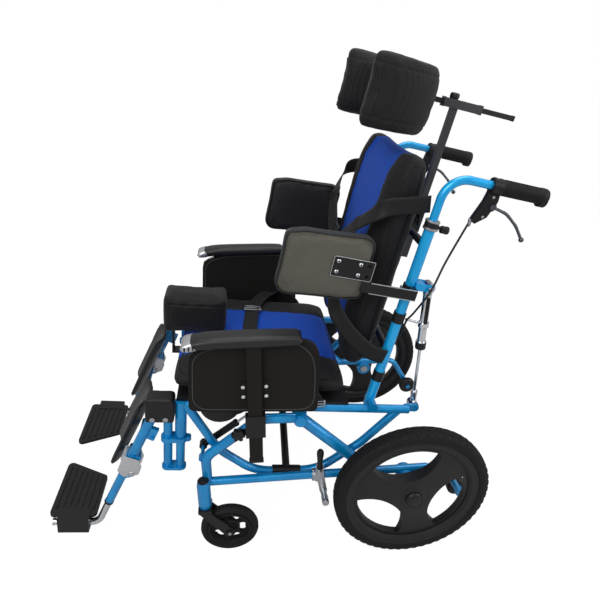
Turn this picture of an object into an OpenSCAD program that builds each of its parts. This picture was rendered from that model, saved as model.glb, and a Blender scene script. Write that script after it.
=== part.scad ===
/* [Rear wheels] */
// Distance from the chair's middle to the middle of a rear wheel
wheel_x = 321; // [316:1:330]
// Outer diameter of the rear tyre
wheel_d = 406; // [396:1:410]
// Width of the rear tyre
tyre_w = 44; // [36:1:46]
// Diameter of the rim where the tyre sits
rim_d = 348; // [336:1:352]
// Diameter of the axle bolt
axle_d = 16; // [12:1:18]

/* [Casters] */
// Distance from the middle to a caster's swivel axis
caster_x = 280; // [276:1:286]
// Diameter of the caster wheel
caster_d = 152; // [146:1:154]
// Width of the caster wheel
caster_w = 28; // [24:1:30]
// Distance that the caster's axle trails behind its swivel axis
caster_trail = 60; // [54:1:62]
// Distance from the rear axle forward to the swivel axis
wheelbase = 530; // [524:1:540]
// Outer diameter of the caster barrel
barrel_d = 34; // [32:1:36]

/* [Base frame] */
// Distance from the middle to the base frame's plane
base_x = 259.5; // [258:0.5:261]
// Diameter of the riser and the upper base tube
base_tube_d = 25; // [22:1:26]
// Diameter of the lower rail
lower_rail_d = 22; // [20:1:24]
// Diameter of the thick rear diagonal
diagonal_d = 30; // [26:1:32]
// Height of the lower rail's middle line
lower_rail_z = 222; // [218:1:226]
// Distance from the rear axle forward to the tilt pivot
pivot_ahead = 285; // [280:1:290]
// Height of the tilt pivot
pivot_z = 413; // [408:1:420]

/* [Seat frame] */
// Distance from the middle to the seat frame's plane
seat_x = 232; // [231:0.5:234]
// Diameter of the seat frame's tubes
seat_tube_d = 22; // [20:1:22]
// Seat angle at rest, front edge up
seat_angle = 5.4; // [4:0.1:7]
// Length of the seat rail ahead of the tilt pivot
rail_ahead = 289; // [285:1:292]
// Length of the seat rail behind the tilt pivot
rail_behind = 283; // [280:1:290]
// Drop of the rocker tube below the tilt pivot
rocker_drop = 199; // [190:1:204]
// Length of the front post below the tilt pivot
post_drop = 190; // [180:1:195]

/* [Seat cushion] */
// Width of the seat cushion
cushion_w = 470; // [440:1:474]
// Thickness of the seat cushion
cushion_t = 62; // [50:1:70]
// Length of the seat cushion
cushion_l = 452; // [430:1:455]
// Width of the sewn blue panel in the middle of both cushions
panel_w = 236; // [200:1:260]

/* [Back] */
// Distance from the middle to a back tube
back_x = 207; // [205:0.5:207.5]
// Diameter of the back tube
back_tube_d = 25; // [22:1:25]
// Length of the back tube above its pivot
back_tube_l = 468; // [440:1:480]
// Angle of the back tube from vertical at rest
back_lean = 12.2; // [10:0.1:14]
// Width of the back cushion
back_w = 396; // [370:1:398]
// Height of the back cushion
back_h = 560; // [540:1:580]
// Thickness of the back cushion at its side bolsters
back_t = 100; // [80:1:102]

/* [Push handles] */
// Diameter of the handle tube
handle_tube_d = 19; // [16:1:20]
// Height of the grip's middle line above the back pivot
grip_rise = 589; // [580:1:610]
// Bend radius of the handle tube
handle_bend = 52; // [45:1:60]
// Distance from the back tube's line to the grip's end
grip_reach = 232; // [220:1:240]
// Diameter of the rubber grip
grip_d = 34; // [30:1:36]

/* [Head support] */
// Height of the head support's sliding bar above the back pivot
head_bar_rise = 723; // [715:1:740]
// Side of the square post tube
head_post_w = 16; // [14:1:18]
// Side of the square sliding bar
head_bar_w = 12; // [10:1:12]
// Height of the head pad
head_h = 140; // [130:1:150]
// Thickness of the head pad
head_t = 44; // [38:1:46]
// Width of the head pad's flat middle
head_centre_w = 140; // [120:1:150]
// Radius of the head pad's bends
head_bend = 55; // [50:1:60]
// Length of one side wing of the head pad past its bend
head_wing = 80; // [60:1:90]

/* [Lateral supports] */
// Length of a lateral pad
lateral_l = 205; // [190:1:208]
// Height of a lateral pad
lateral_h = 160; // [150:1:165]
// Thickness of a lateral pad
lateral_t = 36; // [30:1:38]

/* [Armrests] */
// Distance from the middle to the armrest post
arm_post_x = 282; // [281.5:0.5:284]
// Length of the arm pad along its top
arm_pad_l = 268; // [250:1:275]
// Width of the arm pad
arm_pad_w = 50; // [44:1:54]
// Height of the arm pad's top
arm_top_z = 663; // [655:1:670]
// Height of the side skirt panel
skirt_h = 178; // [170:1:182]

/* [Legrests] */
// Distance from the middle to the legrest's plane
leg_x = 230; // [229:0.5:231]
// Angle of the leg tube from vertical at rest
leg_angle = 27.2; // [24:0.1:29]
// Diameter of the upper leg tube
leg_tube_d = 25; // [24:1:26]
// Diameter of the chromed foot tube
foot_tube_d = 18; // [16:1:18]
// Distance from the knee hinge to the foot tube's bend
leg_length = 395; // [385:1:398]
// Size of the footplate along the foot
plate_l = 119; // [110:1:132]
// Size of the footplate across the foot
plate_w = 165; // [150:1:170]
// Length of the calf pad
calf_l = 225; // [200:1:235]

/* [Pommel] */
// Width of the pommel
pommel_w = 96; // [80:1:100]
// Length of the pommel
pommel_l = 166; // [150:1:170]
// Height of the pommel
pommel_h = 106; // [95:1:110]

/* [Hidden] */

$fn = 48;
hull_fn = 32;

// Running clearance of a shaft in its bore, gap between faces that slide past each other,
// gap between touching pieces of one body, and overrun of a cut past a face
shaft_gap = 0.05;
face_gap = 0.4;
seat_gap = 0.15;
over = 1;
// A bend is this much thicker than its bars, which run this far into it
bend_step = 0.3;
bend_lap = 0.5;
// Standing out of a boss or eye past the tube that carries it
boss_proud = 0.3;

// Colours of the finishes
blue_paint = [0, 0.49, 0.78];
bright_blue = [0, 0.6, 0.9];
black_part = [0.1, 0.1, 0.11];
steel_part = [0.75, 0.76, 0.78];
dark_grey = [0.3, 0.3, 0.32];
black_cloth = [0.14, 0.14, 0.15];
blue_cloth = [0.1, 0.27, 0.62];
olive_cloth = [0.4, 0.39, 0.35];

// Points in the side view are [back, up] from the rear axle on the floor.
// The seat has its own frame at the tilt pivot, and the back one at the back pivot.
function turned(p, a) = [p.x * cos(a) - p.y * sin(a), p.x * sin(a) + p.y * cos(a)];
tilt_pivot = [-pivot_ahead, pivot_z];
back_pivot_behind = 184;
back_pivot_rise = 20.4;
back_pivot_on_seat = [back_pivot_behind, back_pivot_rise];
back_pivot = tilt_pivot + turned(back_pivot_on_seat, -seat_angle);

// Seat frame: line of the rails, front post and rocker
seat_r = seat_tube_d / 2;
rail_rise = 11.5;
rail_top = rail_rise + seat_r;
rail_front = [-rail_ahead, rail_rise];
rail_rear = [rail_behind, rail_rise];
post_r = 14;
post_upper = 80;
rocker_shares = [[-0.962, 0], [-0.675, -0.643], [-0.329, -1.015], [0.247, -0.985], [0.618, -0.503],
  [0.912, 0]];
function rocker_point(s) = [s.x * (s.x < 0 ? rail_ahead : rail_behind), s.y == 0 ? rail_rise : s.y * rocker_drop];
rocker_path = [for (s = rocker_shares) rocker_point(s)];
rocker_bends = [150, 120, 120, 150];
rocker_r = seat_r - 0.25;

// Tilt pivot: hub on the base, boss on the seat frame, shaft through both
pivot_hub_r = 17;
pivot_hub_in = 15.1;
pivot_hub_out = 15.5;
pivot_cap_t = 4;
pivot_boss_r = 18;
pivot_shaft_r = 8;
pivot_washer_t = 4.6;
pivot_washer_r = 13;

// Back pivot: pin of the seat frame through the foot of the back tube
back_tube_r = back_tube_d / 2;
back_pin_r = 6;
back_boss_r = 13;
pin_cap_t = 4;
pin_cap_extra = 3;
back_tube_foot = 14;
lever_pin_r = 5;

// Knee hinge and lie of the legrest
hanger_ahead = 31;
knee_ahead = 65.5;
knee_drop = 21.5;
knee_on_seat = [-rail_ahead - knee_ahead, -knee_drop];
knee_hinge = tilt_pivot + turned(knee_on_seat, -seat_angle);
leg_down = -[sin(leg_angle), cos(leg_angle)];
foot_angle = 6;
foot_bend = knee_hinge + leg_length * leg_down;
foot_bar_l = 112;
bar_cap_t = 4;
bar_cap_r = 10;

// Reach ahead of and behind the rear axle, which sets the origin midway between them
grip_r = grip_d / 2;
front_reach = -(foot_bend.x - (foot_bar_l + bar_cap_t) * cos(foot_angle) - bar_cap_r * sin(foot_angle));
grip_end_top = back_pivot + turned([grip_reach, grip_rise + grip_r], -back_lean);
rear_reach = grip_end_top.x;
origin_shift = (front_reach - rear_reach) / 2;

module place() {
  translate([0, origin_shift, 0])
    children();
}

module mirrored() {
  mirror([1, 0, 0])
    children();
}

module both_sides() {
  children();
  mirrored() children();
}

module on_left(finish) {
  color(finish)
    place() children();
}

module on_right(finish) {
  color(finish)
    place() mirrored() children();
}

// Side plane at a distance x from the middle: local x is back, y is up, z is outwards
module side_plane(x) {
  translate([x, 0, 0])
    rotate([90, 0, 90])
      children();
}

// The seat's own frame, its rails level in it, and its side plane
module seat_space() {
  translate([0, tilt_pivot.x, tilt_pivot.y])
    rotate([-seat_angle, 0, 0])
      children();
}

module seat_plane(x) {
  seat_space()
    side_plane(x)
      children();
}

// The back's own frame, its tubes upright in it, and its side plane
module back_space() {
  translate([0, back_pivot.x, back_pivot.y])
    rotate([-back_lean, 0, 0])
      children();
}

module back_plane(x) {
  back_space()
    side_plane(x)
      children();
}

// Side plane of the legrest from the knee hinge, y up along the leg tube
module leg_plane(x) {
  translate([0, knee_hinge.x, knee_hinge.y])
    rotate([-leg_angle, 0, 0])
      side_plane(x)
        children();
}

// Frame of the foot bar: from the bend of the foot tube, forward along the bar is -y
module foot_space() {
  translate([leg_x, foot_bend.x, foot_bend.y])
    rotate([-foot_angle, 0, 0])
      children();
}

// Round bar through listed points of a side plane, with true bends
function unit2(v) = v / norm(v);
function turn_at(p, i) = let (u = unit2(p[i] - p[i - 1]), v = unit2(p[i + 1] - p[i]))
  atan2(u.x * v.y - u.y * v.x, u * v);
function trim_at(p, i, bend) = i == 0 || i == len(p) - 1 ? 0 : bend[i - 1] * tan(abs(turn_at(p, i)) / 2);

module bar_between(a, b, r) {
  run = b - a;
  translate([a.x, a.y, 0])
    rotate([0, 0, atan2(run.y, run.x)])
      rotate([0, 90, 0])
        cylinder(h = norm(run), r = r);
}

module elbow(p, i, r, bend) {
  heading = atan2(p[i].y - p[i - 1].y, p[i].x - p[i - 1].x);
  turn = turn_at(p, i);
  side = sign(turn);
  start = p[i] - unit2(p[i] - p[i - 1]) * trim_at(p, i, bend);
  centre = start + side * bend[i - 1] * [-sin(heading), cos(heading)];
  translate([centre.x, centre.y, 0])
    rotate([0, 0, side > 0 ? heading - 90 : heading + 90 + turn])
      rotate_extrude(angle = abs(turn))
        translate([bend[i - 1], 0])
          circle(r = r + bend_step);
}

module bent_bar(p, r, bend) {
  for (i = [0:len(p) - 2]) {
    u = unit2(p[i + 1] - p[i]);
    from = i == 0 ? 0 : trim_at(p, i, bend) - bend_lap;
    to = i == len(p) - 2 ? 0 : trim_at(p, i + 1, bend) - bend_lap;
    bar_between(p[i] + u * from, p[i + 1] - u * to, r);
  }
  for (i = [1:1:len(p) - 2]) elbow(p, i, r, bend);
}

// Flat link with two round ends, t thick outwards
module strap_link(a, b, r, t, slim = 0) {
  run = b - a;
  translate([a.x, a.y, 0])
    cylinder(h = t, r = r);
  translate([b.x, b.y, 0])
    cylinder(h = t, r = r);
  translate([a.x, a.y, 0])
    rotate([0, 0, atan2(run.y, run.x)])
      translate([0, slim - r, 0])
        cube([norm(run), 2 * (r - slim), t]);
}

// Disc or pin lying across a side plane, from z0 to z1 outwards
module across(p, r, z0, z1) {
  translate([p.x, p.y, z0])
    cylinder(h = z1 - z0, r = r);
}

// Box between two corners
module box_between(a, b) {
  translate(a)
    cube(b - a);
}

// Hand knob with round lobes, on an axis that points outwards
module hand_knob(p, z0, r, t) {
  lobe_share = 0.3;
  across(p, r * (1 - lobe_share), z0, z0 + t);
  for (k = [0:5])
    across(p + r * (1 - lobe_share) * [cos(60 * k), sin(60 * k)], r * lobe_share, z0, z0 + t);
}

// Section of webbing or cord swept along points in space, as one closed skin.
// The section's first axis lies along the direction given for each point.
function unit3(v) = v / norm(v);
function run_dir(p, i) = unit3(p[min(i + 1, len(p) - 1)] - p[max(i - 1, 0)]);
function ring_at(p, i, side, section) = let (d = run_dir(p, i), w = unit3(side - (side * d) * d), n = cross(d, w))
  [for (s = section) p[i] + s.x * w + s.y * n];

module swept(p, sides, section) {
  rings = len(p);
  n = len(section);
  skin = [for (i = [0:rings - 1]) each ring_at(p, i, sides[i], section)];
  walls = [for (i = [0:rings - 2]) for (k = [0:n - 1])
    let (a = i * n + k, b = i * n + (k + 1) % n)
      each [[a, b + n, b], [a, a + n, b + n]]];
  first = [for (k = [1:n - 2]) [0, k, k + 1]];
  last = [for (k = [1:n - 2]) let (e = (rings - 1) * n) [e, e + k + 1, e + k]];
  polyhedron(points = skin, faces = concat(walls, first, last));
}

function strap_section(w, t) = [[-w / 2, -t / 2], [w / 2, -t / 2], [w / 2, t / 2], [-w / 2, t / 2]];
function cord_section(r, n) = [for (k = [0:n - 1]) r * [cos(360 * k / n), sin(360 * k / n)]];

// Smooth curve through hand-set points, with a number of steps between each pair
function curve_at(a, b, c, d, t) = 0.5 * (2 * b + (c - a) * t + (2 * a - 5 * b + 4 * c - d) * t * t
  + (3 * b - a - 3 * c + d) * t * t * t);
function smooth_route(p, steps) = let (n = len(p))
  [for (i = [0:n - 2]) for (s = [0:steps - 1])
    curve_at(p[max(i - 1, 0)], p[i], p[i + 1], p[min(i + 2, n - 1)], s / steps), p[n - 1]];

// Padded form over two lists of stations from -1 to 1: a crowned slab with round edges.
// draw pulls its sides in between the corners, crown lowers its faces towards the edges,
// groove(u, v) is the depth share of sewn channels, shape(p) puts a point of the slab in place.
edge_power = 5;
corner_share = 0.05;
crown_share = 0.12;
draw_share = 0.03;
function fall(u) = pow(max(1 - pow(abs(u), edge_power), 0), 1 / edge_power);
function plain_groove(u, v) = 0;
function slab_spot(size, u, v, face, groove) = [
  size.x / 2 * u * (1 - draw_share * (1 - v * v) - corner_share * pow(v, 8)),
  size.y / 2 * v * (1 - draw_share * (1 - u * u) - corner_share * pow(u, 8)),
  face * size.z / 2 * fall(u) * fall(v) * (1 - crown_share * (u * u + v * v)) * (1 - groove(u, v))];

// Two triangles of a cell, cut from its first corner or from its second
function cell_faces(a, b, c, d, from_second) = from_second ? [[a, b, d], [b, c, d]] : [[a, b, c], [a, c, d]];

module padded(size, us, vs, groove, shape) {
  nu = len(us) - 1;
  nv = len(vs) - 1;
  wide = nu + 1;
  skin = concat([for (j = [0:nv]) for (i = [0:nu]) shape(slab_spot(size, us[i], vs[j], 1, groove))],
    [for (j = [1:nv - 1]) for (i = [1:nu - 1]) shape(slab_spot(size, us[i], vs[j], -1, groove))]);
  rim = function(i, j) i == 0 || i == nu || j == 0 || j == nv;
  under = function(i, j) rim(i, j) ? j * wide + i : wide * (nv + 1) + (j - 1) * (nu - 1) + i - 1;
  above = function(i, j) j * wide + i;
  turned = function(i, j) (i < nu / 2) != (j < nv / 2);
  upper_faces = [for (j = [0:nv - 1]) for (i = [0:nu - 1])
    each cell_faces(above(i, j), above(i, j + 1), above(i + 1, j + 1), above(i + 1, j), turned(i, j))];
  lower_faces = [for (j = [0:nv - 1]) for (i = [0:nu - 1])
    each cell_faces(under(i, j), under(i + 1, j), under(i + 1, j + 1), under(i, j + 1), turned(i, j))];
  polyhedron(points = skin, faces = concat(upper_faces, lower_faces));
}

function both_ways(s) = concat([for (i = [len(s) - 1:-1:0]) -s[i]], [0], s);
wide_shares = both_ways([0.25, 0.42, 0.5, 0.58, 0.72, 0.85, 0.93, 0.975, 1]);
long_shares = both_ways([0.25, 0.5, 0.7, 0.84, 0.93, 0.975, 1]);
short_shares = both_ways([0.4, 0.72, 0.9, 0.97, 1]);
function dent(u, at, width) = exp(-pow((u - at) / width, 2));

// Base frame side: riser and top bar, rear diagonal, lower rail, barrel, hubs
base_r = base_tube_d / 2;
lower_r = lower_rail_d / 2;
riser_set_back = 9;
riser_knee_z = 305;
top_bar_l = 100;
top_bar_rise = 3;
riser_bends = [40, 60];
rail_past_axle = 60;
diagonal_foot = 90;
barrel_r = barrel_d / 2;
barrel_bottom = 169;
barrel_top = 232;
barrel_cap_top = 245;
barrel_ring_bottom = 160;
barrel_ring_r = 16;
stem_r = 8;
stem_top = 225;
stem_room = 3;
axle_z = wheel_d / 2;
axle_r = axle_d / 2;
axle_hub_r = 22;
axle_hub_half = 19.5;
arm_plug_r = 9;
arm_plug_l = 36;
strut_base_pin = [-530, 298];
strut_seat_pin = [-108.3, -23.3];
strut_x = 205;
strut_r = 9;
pin_boss_r = 9;
pin_boss_l = 14;
pin_past_strut = 0.6;
strut_eye_half = strut_r + boss_proud;
tilt_pin_end = strut_x - strut_eye_half - pin_past_strut;
riser_path = [[-wheelbase + riser_set_back, lower_rail_z], [-wheelbase + riser_set_back, riser_knee_z],
  tilt_pivot + [-top_bar_l, top_bar_rise], tilt_pivot];

module base_tubes() {
  side_plane(base_x) {
    bent_bar(riser_path, base_r, riser_bends);
    bar_between(tilt_pivot, [-diagonal_foot, lower_rail_z], diagonal_d / 2);
    bar_between([-wheelbase, lower_rail_z], [rail_past_axle, lower_rail_z], lower_r);
    across(tilt_pivot, pivot_hub_r, -pivot_hub_in, pivot_hub_out);
    across(tilt_pivot, pivot_hub_r - pin_cap_extra, pivot_hub_out, pivot_hub_out + pivot_cap_t);
    across([0, axle_z], axle_hub_r, -axle_hub_half, axle_hub_half);
    across(strut_base_pin, pin_boss_r, -pin_boss_l, 0);
  }
  translate([caster_x, -wheelbase, barrel_ring_bottom]) {
    cylinder(h = barrel_bottom - barrel_ring_bottom, r = barrel_ring_r);
    translate([0, 0, barrel_bottom - barrel_ring_bottom])
      cylinder(h = barrel_top - barrel_bottom, r = barrel_r);
    translate([0, 0, barrel_top - barrel_ring_bottom])
      cylinder(h = barrel_cap_top - barrel_top, r1 = barrel_r, r2 = barrel_r - pin_cap_extra);
  }
}

module base_frame_side() {
  shaft_in = base_x - seat_x + seat_r + boss_proud + face_gap + pivot_washer_t;
  color(blue_paint) {
    difference() {
      base_tubes();
      side_plane(base_x)
        across([0, axle_z], axle_r + shaft_gap, -axle_hub_half - over, axle_hub_half + over);
      translate([caster_x, -wheelbase, barrel_ring_bottom - over])
        cylinder(h = stem_top + stem_room - barrel_ring_bottom + over, r = stem_r + shaft_gap);
      side_plane(base_x)
        bar_between([rail_past_axle - arm_plug_l, lower_rail_z],
          [rail_past_axle + over, lower_rail_z], arm_plug_r + shaft_gap);
    }
    side_plane(base_x) {
      across(tilt_pivot, pivot_shaft_r, -shaft_in, -pivot_hub_in);
      across(tilt_pivot, pivot_washer_r, -shaft_in, -shaft_in + pivot_washer_t);
      across(strut_base_pin, lever_pin_r, tilt_pin_end - base_x - pin_cap_t, -pin_boss_l);
      across(strut_base_pin, lever_pin_r + pin_cap_extra, tilt_pin_end - base_x - pin_cap_t,
        tilt_pin_end - base_x);
    }
  }
}

module base_frame_left() on_left(blue_paint) base_frame_side();
module base_frame_right() on_right(blue_paint) base_frame_side();

// Rear axles: bolt, spacer collar and nut
wheel_hub_in = 28;
wheel_hub_out = 24;
axle_nut_r = 13;
axle_nut_t = 7;
axle_head_t = 4;

module rear_axle() {
  side_plane(wheel_x) {
    across([0, axle_z], axle_r, base_x - axle_hub_half - wheel_x, wheel_hub_out + face_gap + axle_nut_t);
    across([0, axle_z], axle_r + axle_head_t, base_x + axle_hub_half - wheel_x, -wheel_hub_in - face_gap);
    across([0, axle_z], axle_r + axle_head_t, base_x - axle_hub_half - axle_head_t - wheel_x,
      base_x - axle_hub_half - wheel_x);
    translate([0, axle_z, wheel_hub_out + face_gap])
      cylinder(h = axle_nut_t, r = axle_nut_r, $fn = 6);
  }
}

module rear_axles() {
  color(steel_part)
    place() both_sides() rear_axle();
}

// Anti-tip arms, plugged into the rear ends of the lower rails
arm_run = 108;
tip_wheel_at = [166, 124];
arm_bend = 40;
tip_wheel_r = 28;
tip_wheel_w = 20;
tip_axle_r = 4;
arm_eye_r = 12;

module anti_tip_arm() {
  tip_pin_l = arm_plug_r + boss_proud + tip_wheel_w + 2 * face_gap;
  difference() {
    side_plane(base_x) {
      bent_bar([[rail_past_axle - arm_plug_l + seat_gap, lower_rail_z], [arm_run, lower_rail_z], tip_wheel_at],
        arm_plug_r, [arm_bend]);
      across(tip_wheel_at, arm_eye_r, -arm_plug_r - boss_proud, arm_plug_r + boss_proud);
      across(tip_wheel_at, tip_axle_r, -tip_pin_l - pin_cap_t, 0);
      across(tip_wheel_at, tip_axle_r + pin_cap_extra, -tip_pin_l - pin_cap_t, -tip_pin_l);
    }
  }
}

module anti_tip_arms() {
  color(blue_paint)
    place() both_sides() anti_tip_arm();
}

module anti_tip_wheels() {
  rib = tip_wheel_w / 5;
  color(black_part)
    place() both_sides()
      side_plane(base_x - arm_plug_r - boss_proud - face_gap - tip_wheel_w)
        translate([tip_wheel_at.x, tip_wheel_at.y, 0])
          difference() {
            rotate_extrude()
              polygon([[tip_axle_r + shaft_gap, 0], [tip_wheel_r - rib, 0], [tip_wheel_r, rib],
                [tip_wheel_r, tip_wheel_w - rib], [tip_wheel_r - rib, tip_wheel_w],
                [tip_axle_r + shaft_gap, tip_wheel_w]]);
          }
}

// Rear wheels: moulded rim with three broad spokes between lens windows, and a tyre on it
rim_r = rim_d / 2;
tyre_r = wheel_d / 2;
rim_half = 19;
rim_shares = [[0.862, 0.58], [0.908, 0.9], [0.97, 0.92], [0.985, 1], [1, 1], [1, -1], [0.985, -1],
  [0.97, -0.92], [0.908, -0.9], [0.862, -0.58]];
spoke_shares = [[0.46, -0.6], [0.88, -0.42], [0.88, 0.42], [0.7, 0.62], [0.46, 0.86], [0.25, 1.12],
  [0.19, 1.12], [0.19, -0.8], [0.3, -0.76]];
hub_r = 24;
hub_boss_r = 36;
window_out_share = 0.816;
window_centre_share = 0.85;
window_r_share = 0.546;
window_turn = 102;
window_count = 3;

module window_outline() {
  intersection() {
    circle(r = window_out_share * rim_r);
    translate([window_centre_share * rim_r, 0])
      circle(r = window_r_share * rim_r);
  }
}

module rear_wheel() {
  side_plane(wheel_x)
    translate([0, axle_z, 0])
      difference() {
        union() {
          rotate_extrude()
            polygon([for (s = rim_shares) [s.x * rim_r, s.y * rim_half]]);
          rotate_extrude()
            polygon([for (s = spoke_shares) [s.x * rim_r, s.y * rim_half]]);
          translate([0, 0, -wheel_hub_in])
            cylinder(h = wheel_hub_in + wheel_hub_out, r = hub_r);
          translate([0, 0, -wheel_hub_in / 2])
            cylinder(h = wheel_hub_in / 2 + rim_half, r = hub_r + hub_boss_r - hub_r);
        }
        translate([0, 0, -wheel_hub_in - over])
          cylinder(h = wheel_hub_in + wheel_hub_out + 2 * over, r = axle_r + shaft_gap);
        for (k = [0:window_count - 1])
          rotate([0, 0, window_turn + 360 * k / window_count])
            translate([0, 0, -wheel_hub_in - over])
              linear_extrude(height = wheel_hub_in + wheel_hub_out + 2 * over)
                window_outline();
      }
}

module rear_wheel_left() on_left(black_part) rear_wheel();
module rear_wheel_right() on_right(black_part) rear_wheel();

tyre_half_shares = [[0, 0.86], [0.2, 1], [0.72, 0.96], [0.9, 0.66], [0.86, 0.6], [0.95, 0.54], [0.985, 0.3],
  [0.94, 0.26], [0.94, 0.18], [1, 0.14]];

module rear_tyre() {
  depth = tyre_r - rim_r - seat_gap;
  half = [for (s = tyre_half_shares) [rim_r + seat_gap + s.x * depth, s.y * tyre_w / 2]];
  flip = [for (i = [len(half) - 1:-1:0]) [half[i].x, -half[i].y]];
  side_plane(wheel_x)
    translate([0, axle_z, 0])
      rotate_extrude()
        polygon(concat(half, flip));
}

module rear_tyre_left() on_left(black_part) rear_tyre();
module rear_tyre_right() on_right(black_part) rear_tyre();

// Casters: fork with stem, crown and two legs, and a wheel with five windows
crown_top = 159.6;
crown_t = 10;
crown_r = 17;
fork_room = 2;
fork_leg_t = 5;
fork_leg_r = 14;
fork_half = caster_w / 2 + fork_room;
caster_axle_r = 6;
caster_axle_at = [-wheelbase + caster_trail, caster_d / 2];
fork_nut_r = 9;
fork_nut_t = 4;

module caster_fork() {
  translate([caster_x, -wheelbase, crown_top - crown_t]) {
    cylinder(h = crown_t, r = crown_r);
    cylinder(h = stem_top - crown_top + crown_t, r = stem_r);
    box_between([-fork_half - fork_leg_t, -crown_r, 0], [fork_half + fork_leg_t, crown_r, crown_t]);
  }
  for (side = [-1, 1])
    side_plane(caster_x + side * (fork_half + fork_leg_t / 2)) {
      translate([0, 0, -fork_leg_t / 2])
        linear_extrude(height = fork_leg_t)
          hull() {
            translate([caster_axle_at.x, caster_axle_at.y])
              circle(r = fork_leg_r, $fn = hull_fn);
            translate([-wheelbase - fork_leg_r, crown_top - crown_t])
              square([2 * fork_leg_r, over]);
          }
      across(caster_axle_at, fork_nut_r, -fork_leg_t / 2 - (side < 0 ? fork_nut_t : 0),
        fork_leg_t / 2 + (side > 0 ? fork_nut_t : 0));
    }
  side_plane(caster_x)
    across(caster_axle_at, caster_axle_r, -fork_half - fork_leg_t, fork_half + fork_leg_t);
}

module caster_fork_left() on_left(black_part) caster_fork();
module caster_fork_right() on_right(black_part) caster_fork();

caster_r = caster_d / 2;
caster_rim_share = 0.76;
caster_tyre_shares = [[0, 0.72], [0.3, 0.95], [0.62, 1], [0.86, 0.72], [1, 0.3]];
caster_disc_shares = [[0.2, 0.92], [0.3, 0.9], [0.34, 0.36], [0.82, 0.36], [0.88, 0.86], [1, 0.86]];
caster_hub_half = 15;
caster_windows = 5;
caster_window_r = 10;
caster_window_at_share = 0.6;

module caster_wheel() {
  rim = caster_rim_share * caster_r;
  depth = caster_r - rim - seat_gap;
  tyre = [for (s = caster_tyre_shares) [rim + seat_gap + s.x * depth, s.y * caster_w / 2]];
  disc = [for (s = caster_disc_shares) [s.x * rim, s.y * caster_w / 2]];
  side_plane(caster_x)
    translate([caster_axle_at.x, caster_axle_at.y, 0]) {
      rotate_extrude()
        polygon(concat(tyre, [for (i = [len(tyre) - 1:-1:0]) [tyre[i].x, -tyre[i].y]]));
      difference() {
        union() {
          rotate_extrude()
            polygon(concat(disc, [for (i = [len(disc) - 1:-1:0]) [disc[i].x, -disc[i].y]]));
          translate([0, 0, -caster_hub_half])
            cylinder(h = 2 * caster_hub_half, r = caster_disc_shares[1].x * rim);
        }
        translate([0, 0, -caster_w])
          cylinder(h = 2 * caster_w, r = caster_axle_r + shaft_gap);
        for (k = [0:caster_windows - 1])
          rotate([0, 0, 360 * k / caster_windows])
            translate([0, 0, -caster_w]) {
              for (side = [-1, 1])
                rotate([0, 0, side * 12])
                  translate([caster_window_at_share * rim, 0, 0])
                    cylinder(h = 2 * caster_w, r = caster_window_r);
            }
      }
    }
}

module caster_wheel_left() on_left(black_part) caster_wheel();
module caster_wheel_right() on_right(black_part) caster_wheel();

// Wheel locks: clamp on the lower rail, and a hand lever with a shoe that meets the tyre
lock_y = -236;
lock_clamp_l = 30;
lock_clamp_r = 16;
lock_pivot = [-234, 247];
lock_pin_r = 4;
lock_plate_t = 5;
lock_plate_r = 11;
lock_plate_in = 10.5;
lock_lever_x = 276;
lock_shoe_at = [-222, 185];
lock_shoe_r = 8;
lock_shoe_out = 325;
lock_grip_foot = 14;
lock_grip_top = 66;
lock_grip_r = 8;
lock_grip_shares = [[0, 0], [0.85, 0], [1, 0.06], [0.82, 0.3], [0.82, 0.55], [1, 0.9], [0.96, 1.03],
  [0.75, 1.1], [0.4, 1.14], [0, 1.15]];
lock_lever_r = 10;

module wheel_lock_clamp() {
  difference() {
    union() {
      side_plane(base_x)
        bar_between([lock_y - lock_clamp_l / 2, lower_rail_z], [lock_y + lock_clamp_l / 2, lower_rail_z],
          lock_clamp_r);
      side_plane(lock_lever_x - face_gap - lock_plate_t)
        strap_link([lock_y, lower_rail_z], lock_pivot, lock_plate_r, lock_plate_t, bend_lap);
    }
    side_plane(base_x)
      bar_between([lock_y - lock_clamp_l, lower_rail_z], [lock_y + lock_clamp_l, lower_rail_z],
        lower_r + seat_gap);
  }
  side_plane(lock_lever_x) {
    across(lock_pivot, lock_pin_r, -lock_plate_t, lock_plate_t + 2 * face_gap + pin_cap_t);
    across(lock_pivot, lock_pin_r + pin_cap_extra, lock_plate_t + face_gap, lock_plate_t + face_gap + pin_cap_t);
  }
}

module wheel_lock_clamps() {
  color(steel_part)
    place() both_sides() wheel_lock_clamp();
}

module wheel_lock() {
  side_plane(lock_lever_x) {
    difference() {
      union() {
        hull() {
          across(lock_pivot, lock_lever_r, 0, lock_plate_t);
          across(lock_shoe_at, lock_lever_r, 0, lock_plate_t);
        }
        translate([0, 0, bend_lap])
          strap_link(lock_pivot, lock_pivot + [0, lock_grip_foot + lock_plate_r], lock_lever_r - bend_lap,
            lock_plate_t - 2 * bend_lap);
      }
      across(lock_pivot, lock_pin_r + shaft_gap, -over, lock_plate_t + over);
    }
    across(lock_shoe_at, lock_shoe_r, lock_plate_t / 2, lock_shoe_out - lock_lever_x);
    translate([lock_pivot.x, lock_pivot.y + lock_grip_foot, lock_plate_t / 2])
      rotate([-90, 0, 0])
        rotate_extrude()
          polygon([for (s = lock_grip_shares) [s.x * lock_grip_r, s.y * (lock_grip_top - lock_grip_foot)]]);
  }
}

module wheel_lock_left() on_left(dark_grey) wheel_lock();
module wheel_lock_right() on_right(dark_grey) wheel_lock();

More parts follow.
